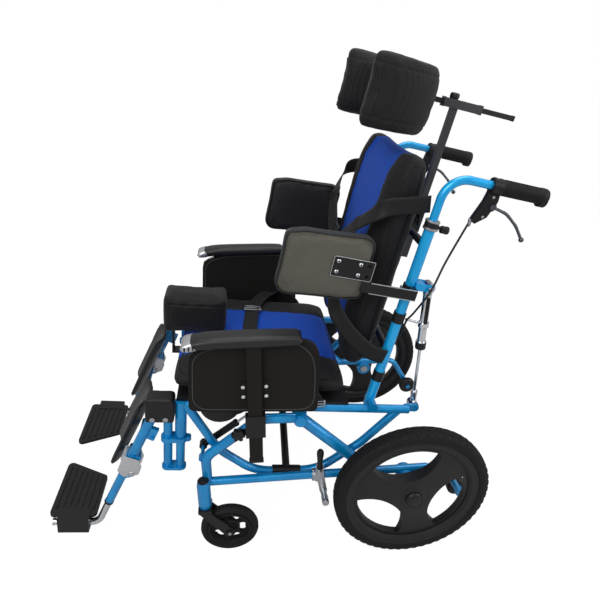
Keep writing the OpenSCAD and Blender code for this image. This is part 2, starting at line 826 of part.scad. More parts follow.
// Tilt struts: a gas cylinder on the base's pin and a rod on the seat frame's pin
tilt_base_on = strut_base_pin;
tilt_seat_on = tilt_pivot + turned(strut_seat_pin, -seat_angle);
tilt_run = tilt_seat_on - tilt_base_on;
tilt_reach = norm(tilt_run);
tilt_way = tilt_run / tilt_reach;
strut_eye_r = 10;
tilt_room_r = 6.5;
tilt_room_from = 20;
tilt_cylinder_l = 112;
tilt_rod_r = 3.5;
tilt_rod_l = 118;

module tilt_cylinder() {
  side_plane(strut_x)
    difference() {
      union() {
        across(tilt_base_on, strut_eye_r, -strut_eye_half, strut_eye_half);
        bar_between(tilt_base_on, tilt_base_on + tilt_cylinder_l * tilt_way, strut_r);
      }
      across(tilt_base_on, lever_pin_r + shaft_gap, -strut_eye_half - over, strut_eye_half + over);
      bar_between(tilt_base_on + tilt_room_from * tilt_way,
        tilt_base_on + (tilt_cylinder_l + over) * tilt_way, tilt_room_r);
    }
}

module tilt_cylinders() {
  color(black_part)
    place() both_sides() tilt_cylinder();
}

module tilt_rod() {
  side_plane(strut_x)
    difference() {
      union() {
        across(tilt_seat_on, strut_eye_r, -strut_eye_half, strut_eye_half);
        bar_between(tilt_seat_on, tilt_seat_on - tilt_rod_l * tilt_way, tilt_rod_r);
      }
      across(tilt_seat_on, lever_pin_r + shaft_gap, -strut_eye_half - over, strut_eye_half + over);
    }
}

module tilt_rods() {
  color(steel_part)
    place() both_sides() tilt_rod();
}

// Seat frame side: rail, rocker, front post, bosses, and the pins of the back and the struts
boss_out = base_x - pivot_hub_in - face_gap - seat_x;
recline_seat_pin = [302, 11.5];
bracket_t = 6;
bracket_in = 10.5;
bracket_r = 11;
recline_x = 207;
recline_r = 10;
recline_eye_r = 12.5;
recline_eye_half = 12.6;
recline_pin_end = recline_x - recline_eye_half - pin_past_strut;

module seat_frame_side() {
  color(blue_paint)
    seat_plane(seat_x) {
      difference() {
        union() {
          bar_between(rail_front, rail_rear, seat_r);
          bent_bar(rocker_path, rocker_r, rocker_bends);
          bar_between([-rail_ahead, rail_top], [-rail_ahead, -post_upper], post_r);
          bar_between([-rail_ahead, -post_upper], [-rail_ahead, -post_drop], seat_r);
          across([0, 0], pivot_boss_r, -seat_r - boss_proud, boss_out);
          across(back_pivot_on_seat, back_boss_r, -seat_r - boss_proud, seat_r + boss_proud);
        }
        across([0, 0], pivot_shaft_r + shaft_gap, -seat_r - over, boss_out + over);
      }
      across(back_pivot_on_seat, back_pin_r, back_x - back_tube_r - face_gap - pin_cap_t - seat_x, -seat_r);
      across(back_pivot_on_seat, back_pin_r + pin_cap_extra,
        back_x - back_tube_r - face_gap - pin_cap_t - seat_x, back_x - back_tube_r - face_gap - seat_x);
      translate([0, 0, -bracket_in]) {
        strap_link(recline_seat_pin - [2 * bracket_r, 0], recline_seat_pin, bracket_r, bracket_t, bend_lap);
        strap_link([strut_seat_pin.x, 0], strut_seat_pin, bracket_r, bracket_t, bend_lap);
      }
      across(recline_seat_pin, lever_pin_r, recline_pin_end - pin_cap_t - seat_x, -bracket_in);
      across(recline_seat_pin, lever_pin_r + pin_cap_extra, recline_pin_end - pin_cap_t - seat_x,
        recline_pin_end - seat_x);
      across(strut_seat_pin, lever_pin_r, tilt_pin_end - pin_cap_t - seat_x, -bracket_in);
      across(strut_seat_pin, lever_pin_r + pin_cap_extra, tilt_pin_end - pin_cap_t - seat_x,
        tilt_pin_end - seat_x);
    }
}

module seat_frame_left() on_left(blue_paint) seat_frame_side();
module seat_frame_right() on_right(blue_paint) seat_frame_side();

// Cross brace: two bars between sleeves on the rockers and the rails opposite, bolted where they cross
sleeve_l = 74;
sleeve_at_share = -0.045;
sleeve_r = 14;
brace_r = 10;
brace_bolt_r = 5;
brace_on_rocker = rocker_point([sleeve_at_share, -1]).y;
rocker_low = [sleeve_at_share * rail_ahead, (rocker_shares[2].y + rocker_shares[3].y) / 2 * rocker_drop];
brace_foot_lift = 4;
brace_foot_at = 13;
brace_top_at = 26.5;
brace_share = seat_x / (2 * seat_x - seat_r);

function brace_foot(way) = [seat_x, way * brace_foot_at, rocker_low.y + brace_foot_lift];
function brace_top(way) = [-seat_x + seat_r, way * brace_top_at, rail_rise];

module brace_bar(way) {
  foot = brace_foot(way);
  run = brace_top(way) - foot;
  translate(foot)
    rotate([0, acos(run.z / norm(run)), atan2(run.y, run.x)])
      cylinder(h = norm(run), r = brace_r);
}

module cross_brace() {
  color(black_part)
    place() seat_space() {
      difference() {
        union() {
          brace_bar(-1);
          mirrored() brace_bar(1);
          both_sides()
            side_plane(seat_x)
              bar_between(rocker_low - [sleeve_l / 2, 0], rocker_low + [sleeve_l / 2, 0], sleeve_r);
        }
        both_sides()
          seat_side_tubes();
      }
      crossing = brace_foot(1) + brace_share * (brace_top(1) - brace_foot(1));
      bolt_half = crossing.y + brace_r + 1;
      translate([0, -bolt_half, crossing.z])
        rotate([-90, 0, 0])
          cylinder(h = 2 * bolt_half, r = brace_bolt_r);
    }
}

module seat_side_tubes() {
  side_plane(seat_x) {
    bar_between(rail_front, rail_rear, seat_r + seat_gap);
    bar_between(rocker_path[2], rocker_path[3], rocker_r + seat_gap);
  }
}

// Seat cushion on its board, with the runner for the pommel under the board
board_t = 8;
board_front = 300;
board_rear = 122;
cushion_front = 325;
seam_share = 0.5;
runner_w = 40;
runner_h = 12;
runner_from = 305;
runner_to = 205;
tongue_w = 30;
tongue_t = 5;
board_bottom = rail_top + seat_gap;
cushion_bottom = board_bottom + board_t + seat_gap;

function seat_groove(u, v) = 0.09 * (dent(abs(u), seam_share, 0.05));
function on_seat(p) = [p.x, cushion_l / 2 - cushion_front + p.y, cushion_bottom + cushion_t / 2 + p.z];

module seat_cushion() {
  tongue_low = board_bottom - seat_gap - tongue_t;
  place() seat_space() {
    color(black_cloth)
      padded([cushion_w, cushion_l, cushion_t], wide_shares, long_shares,
        function(u, v) seat_groove(u, v), function(p) on_seat(p));
    color(black_part) {
      box_between([-cushion_w / 2, -board_front, board_bottom],
        [cushion_w / 2, board_rear, board_bottom + board_t]);
      difference() {
        box_between([-runner_w / 2, -runner_from, board_bottom - runner_h],
          [runner_w / 2, -runner_to, board_bottom]);
        box_between([-tongue_w / 2 - face_gap, -runner_from - over, tongue_low - face_gap],
          [tongue_w / 2 + face_gap, -runner_to + over, board_bottom + over]);
      }
    }
  }
}

// Pommel: padded block ahead of the cushion's middle, on a bracket that slides in the runner
pommel_front = 357;
pommel_lift = 5;
pommel_bottom = cushion_bottom + cushion_t + pommel_lift;
bracket_ahead = 329;
tongue_end = 170;
pommel_plate_t = 5;
pommel_sink = 0.6;

function on_pommel(p) = [p.x, pommel_l / 2 - pommel_front + p.y, pommel_bottom + pommel_h / 2 + p.z];

module pommel() {
  tongue_low = board_bottom - seat_gap - tongue_t;
  place() seat_space() {
    color(black_cloth)
      padded([pommel_w, pommel_l, pommel_h], short_shares, short_shares,
        function(u, v) 0, function(p) on_pommel(p));
    color(black_part) {
      box_between([-tongue_w / 2, -bracket_ahead - pommel_plate_t, tongue_low],
        [tongue_w / 2, -bracket_ahead, pommel_bottom + pommel_sink]);
      box_between([-tongue_w / 2, -bracket_ahead - over, tongue_low],
        [tongue_w / 2, -tongue_end, tongue_low + tongue_t]);
      box_between([-tongue_w / 2, -bracket_ahead - pommel_plate_t, pommel_bottom + pommel_sink - tongue_t],
        [tongue_w / 2, -bracket_ahead + tongue_w, pommel_bottom + pommel_sink]);
    }
  }
}

// Armrest sockets on the rails, with clamp bars, hand knobs and the black quadrant under the rail
arm_post_y = -395;
arm_post_w = 14;
arm_post_d = 33;
arm_post_foot = 304;
arm_post_top = 640;
socket_foot = 384;
socket_top = 448;
socket_wall = 2;
socket_end = 7;
socket_bar_half = 18;
socket_at = -110;
knob_at = [-437, 390];
knob_r = 17;
knob_t = 12;
knob_lug_r = 9;
knob_bolt_r = 4;
quadrant_at = -196;
quadrant_r = 38;
quadrant_t = 10;
base_clear = 7.5;

module armrest_socket() {
  inner = [arm_post_x - arm_post_w / 2 - face_gap, arm_post_x + arm_post_w / 2 + face_gap];
  outer = [inner.x - socket_wall, inner.y + socket_wall];
  front = arm_post_y - arm_post_d / 2 - face_gap;
  rear = arm_post_y + arm_post_d / 2 + face_gap;
  difference() {
    union() {
      box_between([outer.x, front - socket_end, socket_foot], [outer.y, rear + socket_end, socket_top]);
      side_plane(outer.x)
        strap_link([front - socket_end, knob_at.y], knob_at, knob_lug_r, 2 * socket_wall);
      seat_space() {
        box_between([seat_x, socket_at - socket_bar_half, base_clear],
          [outer.x + over, socket_at + socket_bar_half, rail_top]);
        box_between([seat_x + seat_r / 2, socket_at - socket_bar_half, 0],
          [seat_x + seat_r + socket_wall, socket_at + socket_bar_half, rail_top]);
      }
    }
    box_between([inner.x, front, socket_foot - over], [inner.y, rear, socket_top + over]);
    seat_plane(seat_x)
      bar_between([socket_at - 2 * socket_bar_half, rail_rise], [socket_at + 2 * socket_bar_half, rail_rise],
        seat_r + seat_gap);
  }
  side_plane(outer.x) {
    across(knob_at, knob_bolt_r, 0, 2 * socket_wall + 2 * knob_bolt_r);
    hand_knob(knob_at, 2 * socket_wall + face_gap, knob_r, knob_t);
  }
  seat_plane(seat_x - quadrant_t / 2)
    difference() {
      across([quadrant_at, rail_rise], quadrant_r + seat_r, 0, quadrant_t);
      translate([quadrant_at - 2 * quadrant_r, rail_rise - seat_r - seat_gap, -over])
        cube([4 * quadrant_r, 4 * quadrant_r, quadrant_t + 2 * over]);
      bent_bar(rocker_path, seat_r + socket_wall, rocker_bends);
    }
}

module armrest_sockets() {
  color(black_part)
    place() both_sides() armrest_socket();
}

// Armrests: post, skirt panel with its screw tabs, and the pad's rail; the moulded pad is apart
skirt_in = 260;
skirt_t = 13.5;
skirt_top_z = 639;
skirt_front_top = -538;
skirt_front_foot = -549;
skirt_rear = -246;
skirt_corner = 14;
skirt_rear_corner = 40;
skirt_rise = 20;
tab_w = 20;
tab_t = 3;
tab_foot = 485;
tab_h = 52;
screw_r = 4;
screw_head_t = 2;
screw_rows = [498, 525];
pad_rail_t = 5;
pad_rail_from = -470;
pad_rail_to = -300;

module skirt_outline() {
  foot = skirt_top_z - skirt_h;
  hull() {
    translate([skirt_front_foot + skirt_corner, foot + skirt_corner])
      circle(r = skirt_corner, $fn = hull_fn);
    translate([skirt_rear - skirt_corner, foot - skirt_rise + skirt_corner])
      circle(r = skirt_corner, $fn = hull_fn);
    translate([skirt_rear - skirt_rear_corner, skirt_top_z - skirt_rear_corner])
      circle(r = skirt_rear_corner, $fn = hull_fn);
    translate([skirt_front_top + skirt_corner, skirt_top_z - skirt_rise - skirt_corner])
      circle(r = skirt_corner, $fn = hull_fn);
    translate([pad_rail_from, skirt_top_z - skirt_corner])
      circle(r = skirt_corner, $fn = hull_fn);
  }
}

module armrest() {
  inner = arm_post_x - arm_post_w / 2;
  box_between([inner, arm_post_y - arm_post_d / 2, arm_post_foot],
    [inner + arm_post_w, arm_post_y + arm_post_d / 2, arm_post_top - seat_gap]);
  box_between([skirt_in + skirt_t + seat_gap, pad_rail_from, arm_post_top - seat_gap - pad_rail_t],
    [inner + arm_post_w, pad_rail_to, arm_post_top - seat_gap]);
  side_plane(skirt_in)
    linear_extrude(height = skirt_t)
      skirt_outline();
  for (side = [-1, 1]) {
    near = arm_post_y + side * arm_post_d / 2;
    far = near + side * tab_w;
    box_between([skirt_in + skirt_t, min(near, far), tab_foot],
      [skirt_in + skirt_t + tab_t, max(near, far), tab_foot + tab_h]);
    side_plane(skirt_in + skirt_t + tab_t)
      for (z = screw_rows)
        across([(near + far) / 2, z], screw_r, 0, screw_head_t);
  }
}

module armrest_left() on_left(black_part) armrest();
module armrest_right() on_right(black_part) armrest();

pad_rear = -285;
pad_t = 23;
pad_droop = 26;
pad_droop_share = 0.2;
pad_x = 272;
function pad_drop(y) = pad_droop * pow(max(0, (-y / arm_pad_l - pad_droop_share) * 2), 2);
function on_arm(p) = [pad_x + p.x, pad_rear - arm_pad_l / 2 + p.y, arm_top_z - pad_t / 2 + p.z - pad_drop(p.y)];

module arm_pad() {
  padded([arm_pad_w, arm_pad_l, pad_t], short_shares, long_shares, function(u, v) 0, function(p) on_arm(p));
}

module arm_pad_left() on_left(black_part) arm_pad();
module arm_pad_right() on_right(black_part) arm_pad();

// Lap belt across the cushion, with a side adjuster, a buckle and its anchors on the rails
belt_w = 40;
belt_t = 2;
belt_route = [[247, 40, 26], [248, 20, 60], [243, -20, 92], [225, -60, 102], [170, -95, 103], [100, -115, 103],
  [0, -125, 103]];
belt_steps = 3;
adjuster_at = [-105, -115, 107];
adjuster_size = [26, 46, 4];
buckle_at = [60, -121, 108];
buckle_size = [62, 44, 10];
belt_clip = [14, 30, 3];

module lap_belt() {
  half = smooth_route(belt_route, belt_steps);
  far = [for (i = [len(half) - 2:-1:0]) [-half[i].x, half[i].y, half[i].z]];
  whole = concat(half, far);
  sides = [for (i = [0:len(whole) - 1]) [0, 1, 0.1]];
  color(black_cloth)
    place() seat_space() {
      swept(whole, sides, strap_section(belt_w, belt_t));
      translate(adjuster_at - adjuster_size / 2)
        cube(adjuster_size);
      translate(buckle_at - buckle_size / 2)
        cube(buckle_size);
      both_sides()
        translate([belt_route[0].x - belt_clip.x + 2 * belt_t, belt_route[0].y - belt_clip.y / 2,
          belt_route[0].z - belt_clip.z - seat_gap])
          cube(belt_clip);
    }
}

// Back tubes, bored from the top for the push handles, and drilled at the foot for the pivot pin
handle_r = handle_tube_d / 2;
handle_bore_from = 300;
handle_fit = 0.1;
strut_top_pin = [45, 335];
clevis_from = 8;
clevis_to = 28;
clevis_half = 12;
clevis_half_h = 9;
clevis_ear_t = 3;
clevis_room = 0.4;

module back_tube() {
  ear_in = recline_eye_half + clevis_room;
  difference() {
    union() {
      back_plane(back_x)
        bar_between([0, -back_tube_foot], [0, back_tube_l], back_tube_r);
      back_plane(recline_x) {
        box_between([clevis_from, strut_top_pin.y - clevis_half_h, -ear_in - clevis_ear_t],
          [clevis_to, strut_top_pin.y + clevis_half_h, ear_in + clevis_ear_t]);
        translate([0, 0, ear_in])
          strap_link([clevis_to, strut_top_pin.y], strut_top_pin, clevis_half_h, clevis_ear_t);
        translate([0, 0, -ear_in - clevis_ear_t])
          strap_link([clevis_to, strut_top_pin.y], strut_top_pin, clevis_half_h, clevis_ear_t);
        across(strut_top_pin, lever_pin_r, -ear_in - clevis_ear_t - pin_cap_t, ear_in + clevis_ear_t + pin_cap_t);
      }
    }
    back_plane(back_x) {
      bar_between([0, handle_bore_from], [0, back_tube_l + over], handle_r + handle_fit);
      across([0, 0], back_pin_r + shaft_gap, -2 * back_tube_r, 2 * back_tube_r);
    }
  }
}

module back_tubes() {
  color(blue_paint)
    place() both_sides() back_tube();
}

// Crossbars between the back tubes, with the socket of the head support's post
crossbar_r = 9;
crossbar_rises = [150, 430];
post_at = 47;
head_socket_half = 13;
head_socket_foot = 405;
head_socket_top = 460;
head_socket_wall = 4;

module back_crossbars() {
  color(black_part)
    place() back_space()
      difference() {
        union() {
          for (z = crossbar_rises)
            translate([-back_x, 0, z])
              rotate([0, 90, 0])
                cylinder(h = 2 * back_x, r = crossbar_r);
          box_between([-head_socket_half, -crossbar_r, crossbar_rises[1] - crossbar_r - head_socket_wall],
            [head_socket_half, post_at, crossbar_rises[1] + crossbar_r + head_socket_wall]);
          box_between([-head_socket_half, post_at - head_socket_half, head_socket_foot],
            [head_socket_half, post_at + head_socket_half, head_socket_top]);
        }
        both_sides()
          side_plane(back_x)
            bar_between([0, 0], [0, back_tube_l], back_tube_r + seat_gap);
        box_between([-head_post_w / 2 - face_gap, post_at - head_post_w / 2 - face_gap, 0],
          [head_post_w / 2 + face_gap, post_at + head_post_w / 2 + face_gap, back_tube_l]);
      }
}

// Back cushion: boxed pad with a sunken middle panel and deeper side bolsters
back_foot = 62;
back_rear_face = 13.5;
panel_sink = 12;
function back_groove(u, v) = 0.07 * dent(abs(u), panel_w / back_w, 0.05);
function bolster(x) = 1 - panel_sink / back_t * (abs(x) < panel_w / 2 ? 1 : 0);
function on_back(p) = let (z = p.z > 0 ? p.z - panel_sink * (abs(p.x) < panel_w / 2 ? 1 : 0) : p.z)
  [p.x, -back_rear_face - back_t / 2 - z, back_foot + back_h / 2 + p.y];
back_across_shares = both_ways([0.25, 0.5, 0.56, 0.63, 0.74, 0.86, 0.94, 0.98, 1]);

module back_cushion() {
  color(black_cloth)
    place() back_space()
      padded([back_w, back_h, back_t], back_across_shares, long_shares,
        function(u, v) back_groove(u, v), function(p) on_back(p));
}

// Collars, cable clamps and foot sleeves on the back tubes
collar_t = 22;
collar_r = 16;
collar_knob_at = 33;
collar_knob_drop = 6;
collar_knob_r = 8;
collar_knob_l = 18;
sleeve_foot = 65;
sleeve_h = 27;
sleeve_wall = 2;
gland_size = [8, 12, 14];
cable_clamp_z = 246;
cable_clamp_h = 26;
cable_clamp_r = 15;
cable_r = 2.5;
cable_route = [[207, 82.6, 502.5], [209, 75, 470], [217, 58, 400], [232, 42, 335], [231, 22, 275], [220, 16, 246],
  [209, 20, 212], [195, 19, 178], [188, 13, 136], [188, 2, 93]];

module back_collar() {
  back_plane(back_x)
    difference() {
      union() {
        bar_between([0, back_tube_l], [0, back_tube_l + collar_t], collar_r);
        bar_between([0, back_tube_l + collar_t / 2], [collar_knob_at, back_tube_l + collar_t / 2 - collar_knob_drop],
          collar_knob_r / 2);
        bar_between([collar_knob_at - collar_knob_l / 2, back_tube_l + collar_t / 2 - collar_knob_drop],
          [collar_knob_at + collar_knob_l / 2, back_tube_l + collar_t / 2 - collar_knob_drop], collar_knob_r);
      }
      bar_between([0, 0], [0, 2 * back_tube_l], handle_r + handle_fit);
    }
  difference() {
    union() {
      back_plane(back_x) {
        bar_between([0, sleeve_foot], [0, sleeve_foot + sleeve_h], back_tube_r + sleeve_wall);
        bar_between([0, cable_clamp_z - cable_clamp_h / 2], [0, cable_clamp_z + cable_clamp_h / 2],
          cable_clamp_r);
      }
      back_space()
        translate([cable_route[9].x - gland_size.x / 2, cable_route[9].y - gland_size.y / 2,
          cable_route[9].z - seat_gap - gland_size.z])
          cube(gland_size);
    }
    back_plane(back_x)
      bar_between([0, 0], [0, back_tube_l], back_tube_r + seat_gap);
  }
}

module back_collars() {
  color(black_part)
    place() both_sides() back_collar();
}

// Brake cables from the levers' housings down behind the back tubes to their glands
cable_sides = 8;
cable_steps = 4;

module brake_cables() {
  run = smooth_route(cable_route, cable_steps);
  sides = [for (i = [0:len(run) - 1]) [1, 0, 0]];
  color(black_part)
    place() back_space() both_sides()
      swept(run, sides, cord_section(cable_r, cable_sides));
}

// Recline struts: a gas cylinder under the back's clevis, and a rod on the seat frame's pin
recline_top_on = back_pivot + turned(strut_top_pin, -back_lean);
recline_foot_on = tilt_pivot + turned(recline_seat_pin, -seat_angle);
recline_run = recline_foot_on - recline_top_on;
recline_reach = norm(recline_run);
recline_way = recline_run / recline_reach;
recline_cylinder_l = 147;
recline_collar_l = 20;
recline_collar_r = 12.5;
recline_room_r = 8.5;
recline_room_from = 30;
recline_rod_r = 4;
recline_rod_l = 191;
recline_fitting_l = 41;
recline_fitting_r = 8;
release_at = 100;
release_t = 12;
release_r = 13;
release_arm_r = 3;
release_end = [19, 243];

module recline_cylinder() {
  release_foot = recline_top_on + release_at * recline_way;
  side_plane(recline_x)
    difference() {
      union() {
        across(recline_top_on, recline_eye_r, -recline_eye_half, recline_eye_half);
        bar_between(recline_top_on, recline_top_on + recline_cylinder_l * recline_way, recline_r);
        bar_between(recline_top_on + (recline_cylinder_l - bend_lap) * recline_way,
          recline_top_on + (recline_cylinder_l + recline_collar_l) * recline_way, recline_collar_r);
        bar_between(release_foot - release_t / 2 * recline_way, release_foot + release_t / 2 * recline_way,
          release_r);
        bar_between(release_foot, back_pivot + turned(release_end, -back_lean), release_arm_r);
      }
      across(recline_top_on, lever_pin_r + shaft_gap, -recline_eye_half - over, recline_eye_half + over);
      bar_between(recline_top_on + recline_room_from * recline_way,
        recline_top_on + (recline_cylinder_l + recline_collar_l + over) * recline_way, recline_room_r);
    }
}

module recline_cylinders() {
  color(steel_part)
    place() both_sides() recline_cylinder();
}

module recline_rod() {
  side_plane(recline_x)
    difference() {
      union() {
        across(recline_foot_on, recline_eye_r, -recline_eye_half, recline_eye_half);
        bar_between(recline_foot_on, recline_foot_on - recline_fitting_l * recline_way, recline_fitting_r);
        bar_between(recline_foot_on, recline_foot_on - recline_rod_l * recline_way, recline_rod_r);
      }
      across(recline_foot_on, lever_pin_r + shaft_gap, -recline_eye_half - over, recline_eye_half + over);
    }
}

module recline_rods() {
  color(steel_part)
    place() both_sides() recline_rod();
}

// Push handles: tubes that telescope in the back tubes and bend back to the grips
handle_foot = 330;
handle_past_grip = 7;

module push_handle() {
  back_plane(back_x)
    bent_bar([[0, handle_foot], [0, grip_rise], [grip_reach - handle_past_grip, grip_rise]], handle_r,
      [handle_bend]);
}

module push_handle_left() on_left(bright_blue) push_handle();
module push_handle_right() on_right(bright_blue) push_handle();

// Rubber grip with its end lip, and the brake housing clamped ahead of it
grip_from = 123;
grip_fit = 0.15;
grip_lip_drop = 6;
grip_lip_t = 14;
housing_from = 100;
housing_r = 17;
housing_half = 6.5;
lever_pivot = [118, 545];
housing_shares = [[0, 0], [1, 0], [1.15, 0.36], [0.62, 0.8], [-0.35, 1.02], [-0.78, 0.93], [-0.2, 0.42]];
housing_size = [23, 86];
slot_half = 3.9;
lever_blade_r = 13.5;

module handle_grip() {
  back_plane(back_x)
    difference() {
      union() {
        bar_between([grip_from, grip_rise], [grip_reach, grip_rise], grip_r);
        bar_between([grip_reach - grip_lip_t, grip_rise - grip_lip_drop],
          [grip_reach, grip_rise - grip_lip_drop], grip_r);
        bar_between([housing_from, grip_rise], [grip_from, grip_rise], housing_r);
        translate([0, 0, -housing_half])
          linear_extrude(height = 2 * housing_half)
            polygon([for (s = housing_shares) [housing_from + s.x * housing_size.x,
              grip_rise - s.y * housing_size.y]]);
      }
      bar_between([housing_from - over, grip_rise], [grip_reach - handle_past_grip + seat_gap, grip_rise],
        handle_r + grip_fit);
      across(lever_pivot, lever_blade_r, -slot_half - face_gap, slot_half + face_gap);
      translate([lever_pivot.x, lever_pivot.y - lever_blade_r, -slot_half - face_gap])
        cube([housing_size.x, 2 * lever_blade_r, 2 * slot_half + 2 * face_gap]);
      across(lever_pivot, lever_hole_r + shaft_gap, -housing_half - over, housing_half + over);
    }
}

lever_hole_r = 3;

module handle_grip_left() on_left(black_part) handle_grip();
module handle_grip_right() on_right(black_part) handle_grip();

// Brake lever: a blade on its pin, curving down behind the grip to a ball end
lever_path = [[118, 545], [160, 536], [193, 514], [219, 486]];
lever_bends = [50, 60];
lever_r = 3.4;
lever_eye_r = 11;
lever_ball_r = 6;
lever_pin_head_r = 6;
lever_pin_head_t = 2;

module brake_lever() {
  back_plane(back_x) {
    across(lever_pivot, lever_eye_r, -slot_half, slot_half);
    across(lever_pivot, lever_hole_r, -housing_half - face_gap - lever_pin_head_t,
      housing_half + face_gap + lever_pin_head_t);
    for (side = [-1, 1])
      across(lever_pivot, lever_pin_head_r, side < 0 ? -housing_half - face_gap - lever_pin_head_t
        : housing_half + face_gap, side < 0 ? -housing_half - face_gap
        : housing_half + face_gap + lever_pin_head_t);
    bent_bar(lever_path, lever_r, lever_bends);
    translate([lever_path[3].x, lever_path[3].y, 0])
      sphere(r = lever_ball_r);
  }
}

module brake_lever_left() on_left(dark_grey) brake_lever();
module brake_lever_right() on_right(dark_grey) brake_lever();

// Head support: post with a sleeve, sliding bar, and the winged pad on the bar's end
post_foot = 330;
sleeve_from = 15;
sleeve_to = 113;
sleeve_half_w = 12;
sleeve_half_h = 10;
head_bar_from = -45;
head_bar_to = 200;
head_pin_at = -38;
head_pin_r = 4;
head_knob_r = 9;
head_knob_t = 8;

module headrest_post() {
  color(dark_grey)
    place() back_space() {
      box_between([-head_post_w / 2, post_at - head_post_w / 2, post_foot],
        [head_post_w / 2, post_at + head_post_w / 2, head_bar_rise - sleeve_half_h]);
      difference() {
        box_between([-sleeve_half_w, sleeve_from, head_bar_rise - sleeve_half_h],
          [sleeve_half_w, sleeve_to, head_bar_rise + sleeve_half_h]);
        box_between([-head_bar_w / 2 - face_gap, sleeve_from - over, head_bar_rise - head_bar_w / 2 - face_gap],
          [head_bar_w / 2 + face_gap, sleeve_to + over, head_bar_rise + head_bar_w / 2 + face_gap]);
      }
      translate([0, sleeve_from + head_knob_r + 2 * head_knob_t, head_bar_rise + sleeve_half_h])
        cylinder(h = head_knob_t, r = head_knob_r);
    }
}

module headrest_arm() {
  color(dark_grey)
    place() back_space()
      difference() {
        box_between([-head_bar_w / 2, head_bar_from, head_bar_rise - head_bar_w / 2],
          [head_bar_w / 2, head_bar_to, head_bar_rise + head_bar_w / 2]);
        translate([-head_bar_w, head_pin_at, head_bar_rise])
          rotate([0, 90, 0])
            cylinder(h = 2 * head_bar_w, r = head_pin_r + shaft_gap);
      }
}

head_bend_turn = 80;
head_rise = 712;
head_line = 76;
head_plate_half = 22;
head_plate_t = 4;
head_plate_at = -49.7;
head_ear_t = 4;
head_ear_out = 6.6;
head_ear_back = -30;
head_bend_l = head_bend * head_bend_turn * PI / 180;
head_half_l = head_centre_w / 2 + head_bend_l + head_wing;

function head_turn(s) = max(0, min(head_bend_turn, (s - head_centre_w / 2) / head_bend * 180 / PI));
function head_line_at(s, d) = let (a = head_turn(s), past = max(0, s - head_centre_w / 2 - head_bend_l))
  [min(s, head_centre_w / 2) + (a > 0 ? (head_bend + d) * sin(a) : 0) + past * cos(a),
  -head_line - head_bend + (head_bend + d) * cos(a) - past * sin(a)];
function on_head(p) = let (q = head_line_at(abs(p.x), p.z)) [(p.x < 0 ? -1 : 1) * q.x, q.y, head_rise - p.y];
head_shares = both_ways([0.15, 0.3, 0.36, 0.42, 0.48, 0.54, 0.6, 0.66, 0.74, 0.84, 0.92, 0.97, 1]);

module headrest_pad() {
  place() back_space() {
    color(black_cloth)
      padded([2 * head_half_l, head_h, head_t], head_shares, short_shares,
        function(u, v) 0, function(p) on_head(p));
    color(dark_grey) {
      box_between([-head_plate_half, head_plate_at - head_plate_t, head_bar_rise - head_plate_half],
        [head_plate_half, head_plate_at, head_bar_rise + head_plate_half]);
      for (side = [-1, 1])
        box_between([side * head_ear_out + (side < 0 ? -head_ear_t : 0), head_plate_at - over,
          head_bar_rise - head_bar_w / 2],
          [side * head_ear_out + (side < 0 ? 0 : head_ear_t), head_ear_back,
          head_bar_rise + head_bar_w / 2]);
      translate([-head_ear_out - head_ear_t, head_pin_at, head_bar_rise])
        rotate([0, 90, 0])
          cylinder(h = 2 * (head_ear_out + head_ear_t), r = head_pin_r);
    }
  }
}

// Lateral supports: clamps round the back tubes, flat bars with screwed plates, and the pads
lateral_bar_rise = 320;
lateral_bar_h = 25;
lateral_bar_t = 3;
lateral_in = 203.5;
lateral_clamp_half = 16;
lateral_bar_from = -125;
lateral_plate_from = -201;
lateral_plate_to = -108;
lateral_plate_foot = 335;
lateral_plate_h = 46;
lateral_screws = [[-190, 346], [-190, 371], [-140, 346], [-140, 371]];
lateral_screw_r = 3.5;
lateral_slots = [346, 371];
lateral_slot_r = 3;
lateral_slot_at = [-128, -118];

module lateral_bracket() {
  bar_x = lateral_in + lateral_t + face_gap;
  foot = lateral_bar_rise - lateral_bar_h / 2;
  difference() {
    union() {
      back_plane(back_x)
        bar_between([0, foot], [0, foot + lateral_bar_h], lateral_clamp_half);
      back_space() {
        box_between([back_x, -lateral_clamp_half / 2, foot], [bar_x + over, lateral_clamp_half / 2,
          foot + lateral_bar_h]);
        box_between([bar_x, lateral_bar_from, foot], [bar_x + lateral_bar_t, lateral_clamp_half / 2,
          foot + lateral_bar_h]);
        box_between([bar_x, lateral_bar_from, foot], [bar_x + lateral_bar_t, lateral_plate_to,
          lateral_plate_foot + lateral_plate_h]);
        box_between([bar_x, lateral_plate_from, lateral_plate_foot], [bar_x + lateral_bar_t,
          lateral_plate_to, lateral_plate_foot + lateral_plate_h]);
      }
      back_plane(bar_x + lateral_bar_t)
        for (p = lateral_screws) across(p, lateral_screw_r, -over, screw_head_t);
    }
    back_plane(back_x)
      bar_between([0, 0], [0, back_tube_l], back_tube_r + seat_gap);
    back_plane(recline_x)
      box_between([clevis_from - seat_gap, strut_top_pin.y - clevis_half_h - seat_gap, -lateral_clamp_half - over],
        [clevis_to, strut_top_pin.y, lateral_clamp_half + over]);
    back_plane(bar_x)
      for (z = lateral_slots)
        translate([0, 0, -over])
          strap_link([lateral_slot_at[0], z], [lateral_slot_at[1], z], lateral_slot_r,
            lateral_bar_t + 2 * over);
  }
}

module lateral_brackets() {
  color(black_part)
    place() both_sides() lateral_bracket();
}

lateral_front = -316;
lateral_foot = 270;
lateral_lean_share = 0.06;
lateral_across_shares = both_ways([0.3, 0.6, 0.8, 0.92, 0.975, 1]);
function on_lateral(p) = [lateral_front + lateral_l / 2 + p.x,
  lateral_foot + lateral_h / 2 + p.y + lateral_lean_share * p.x, p.z];

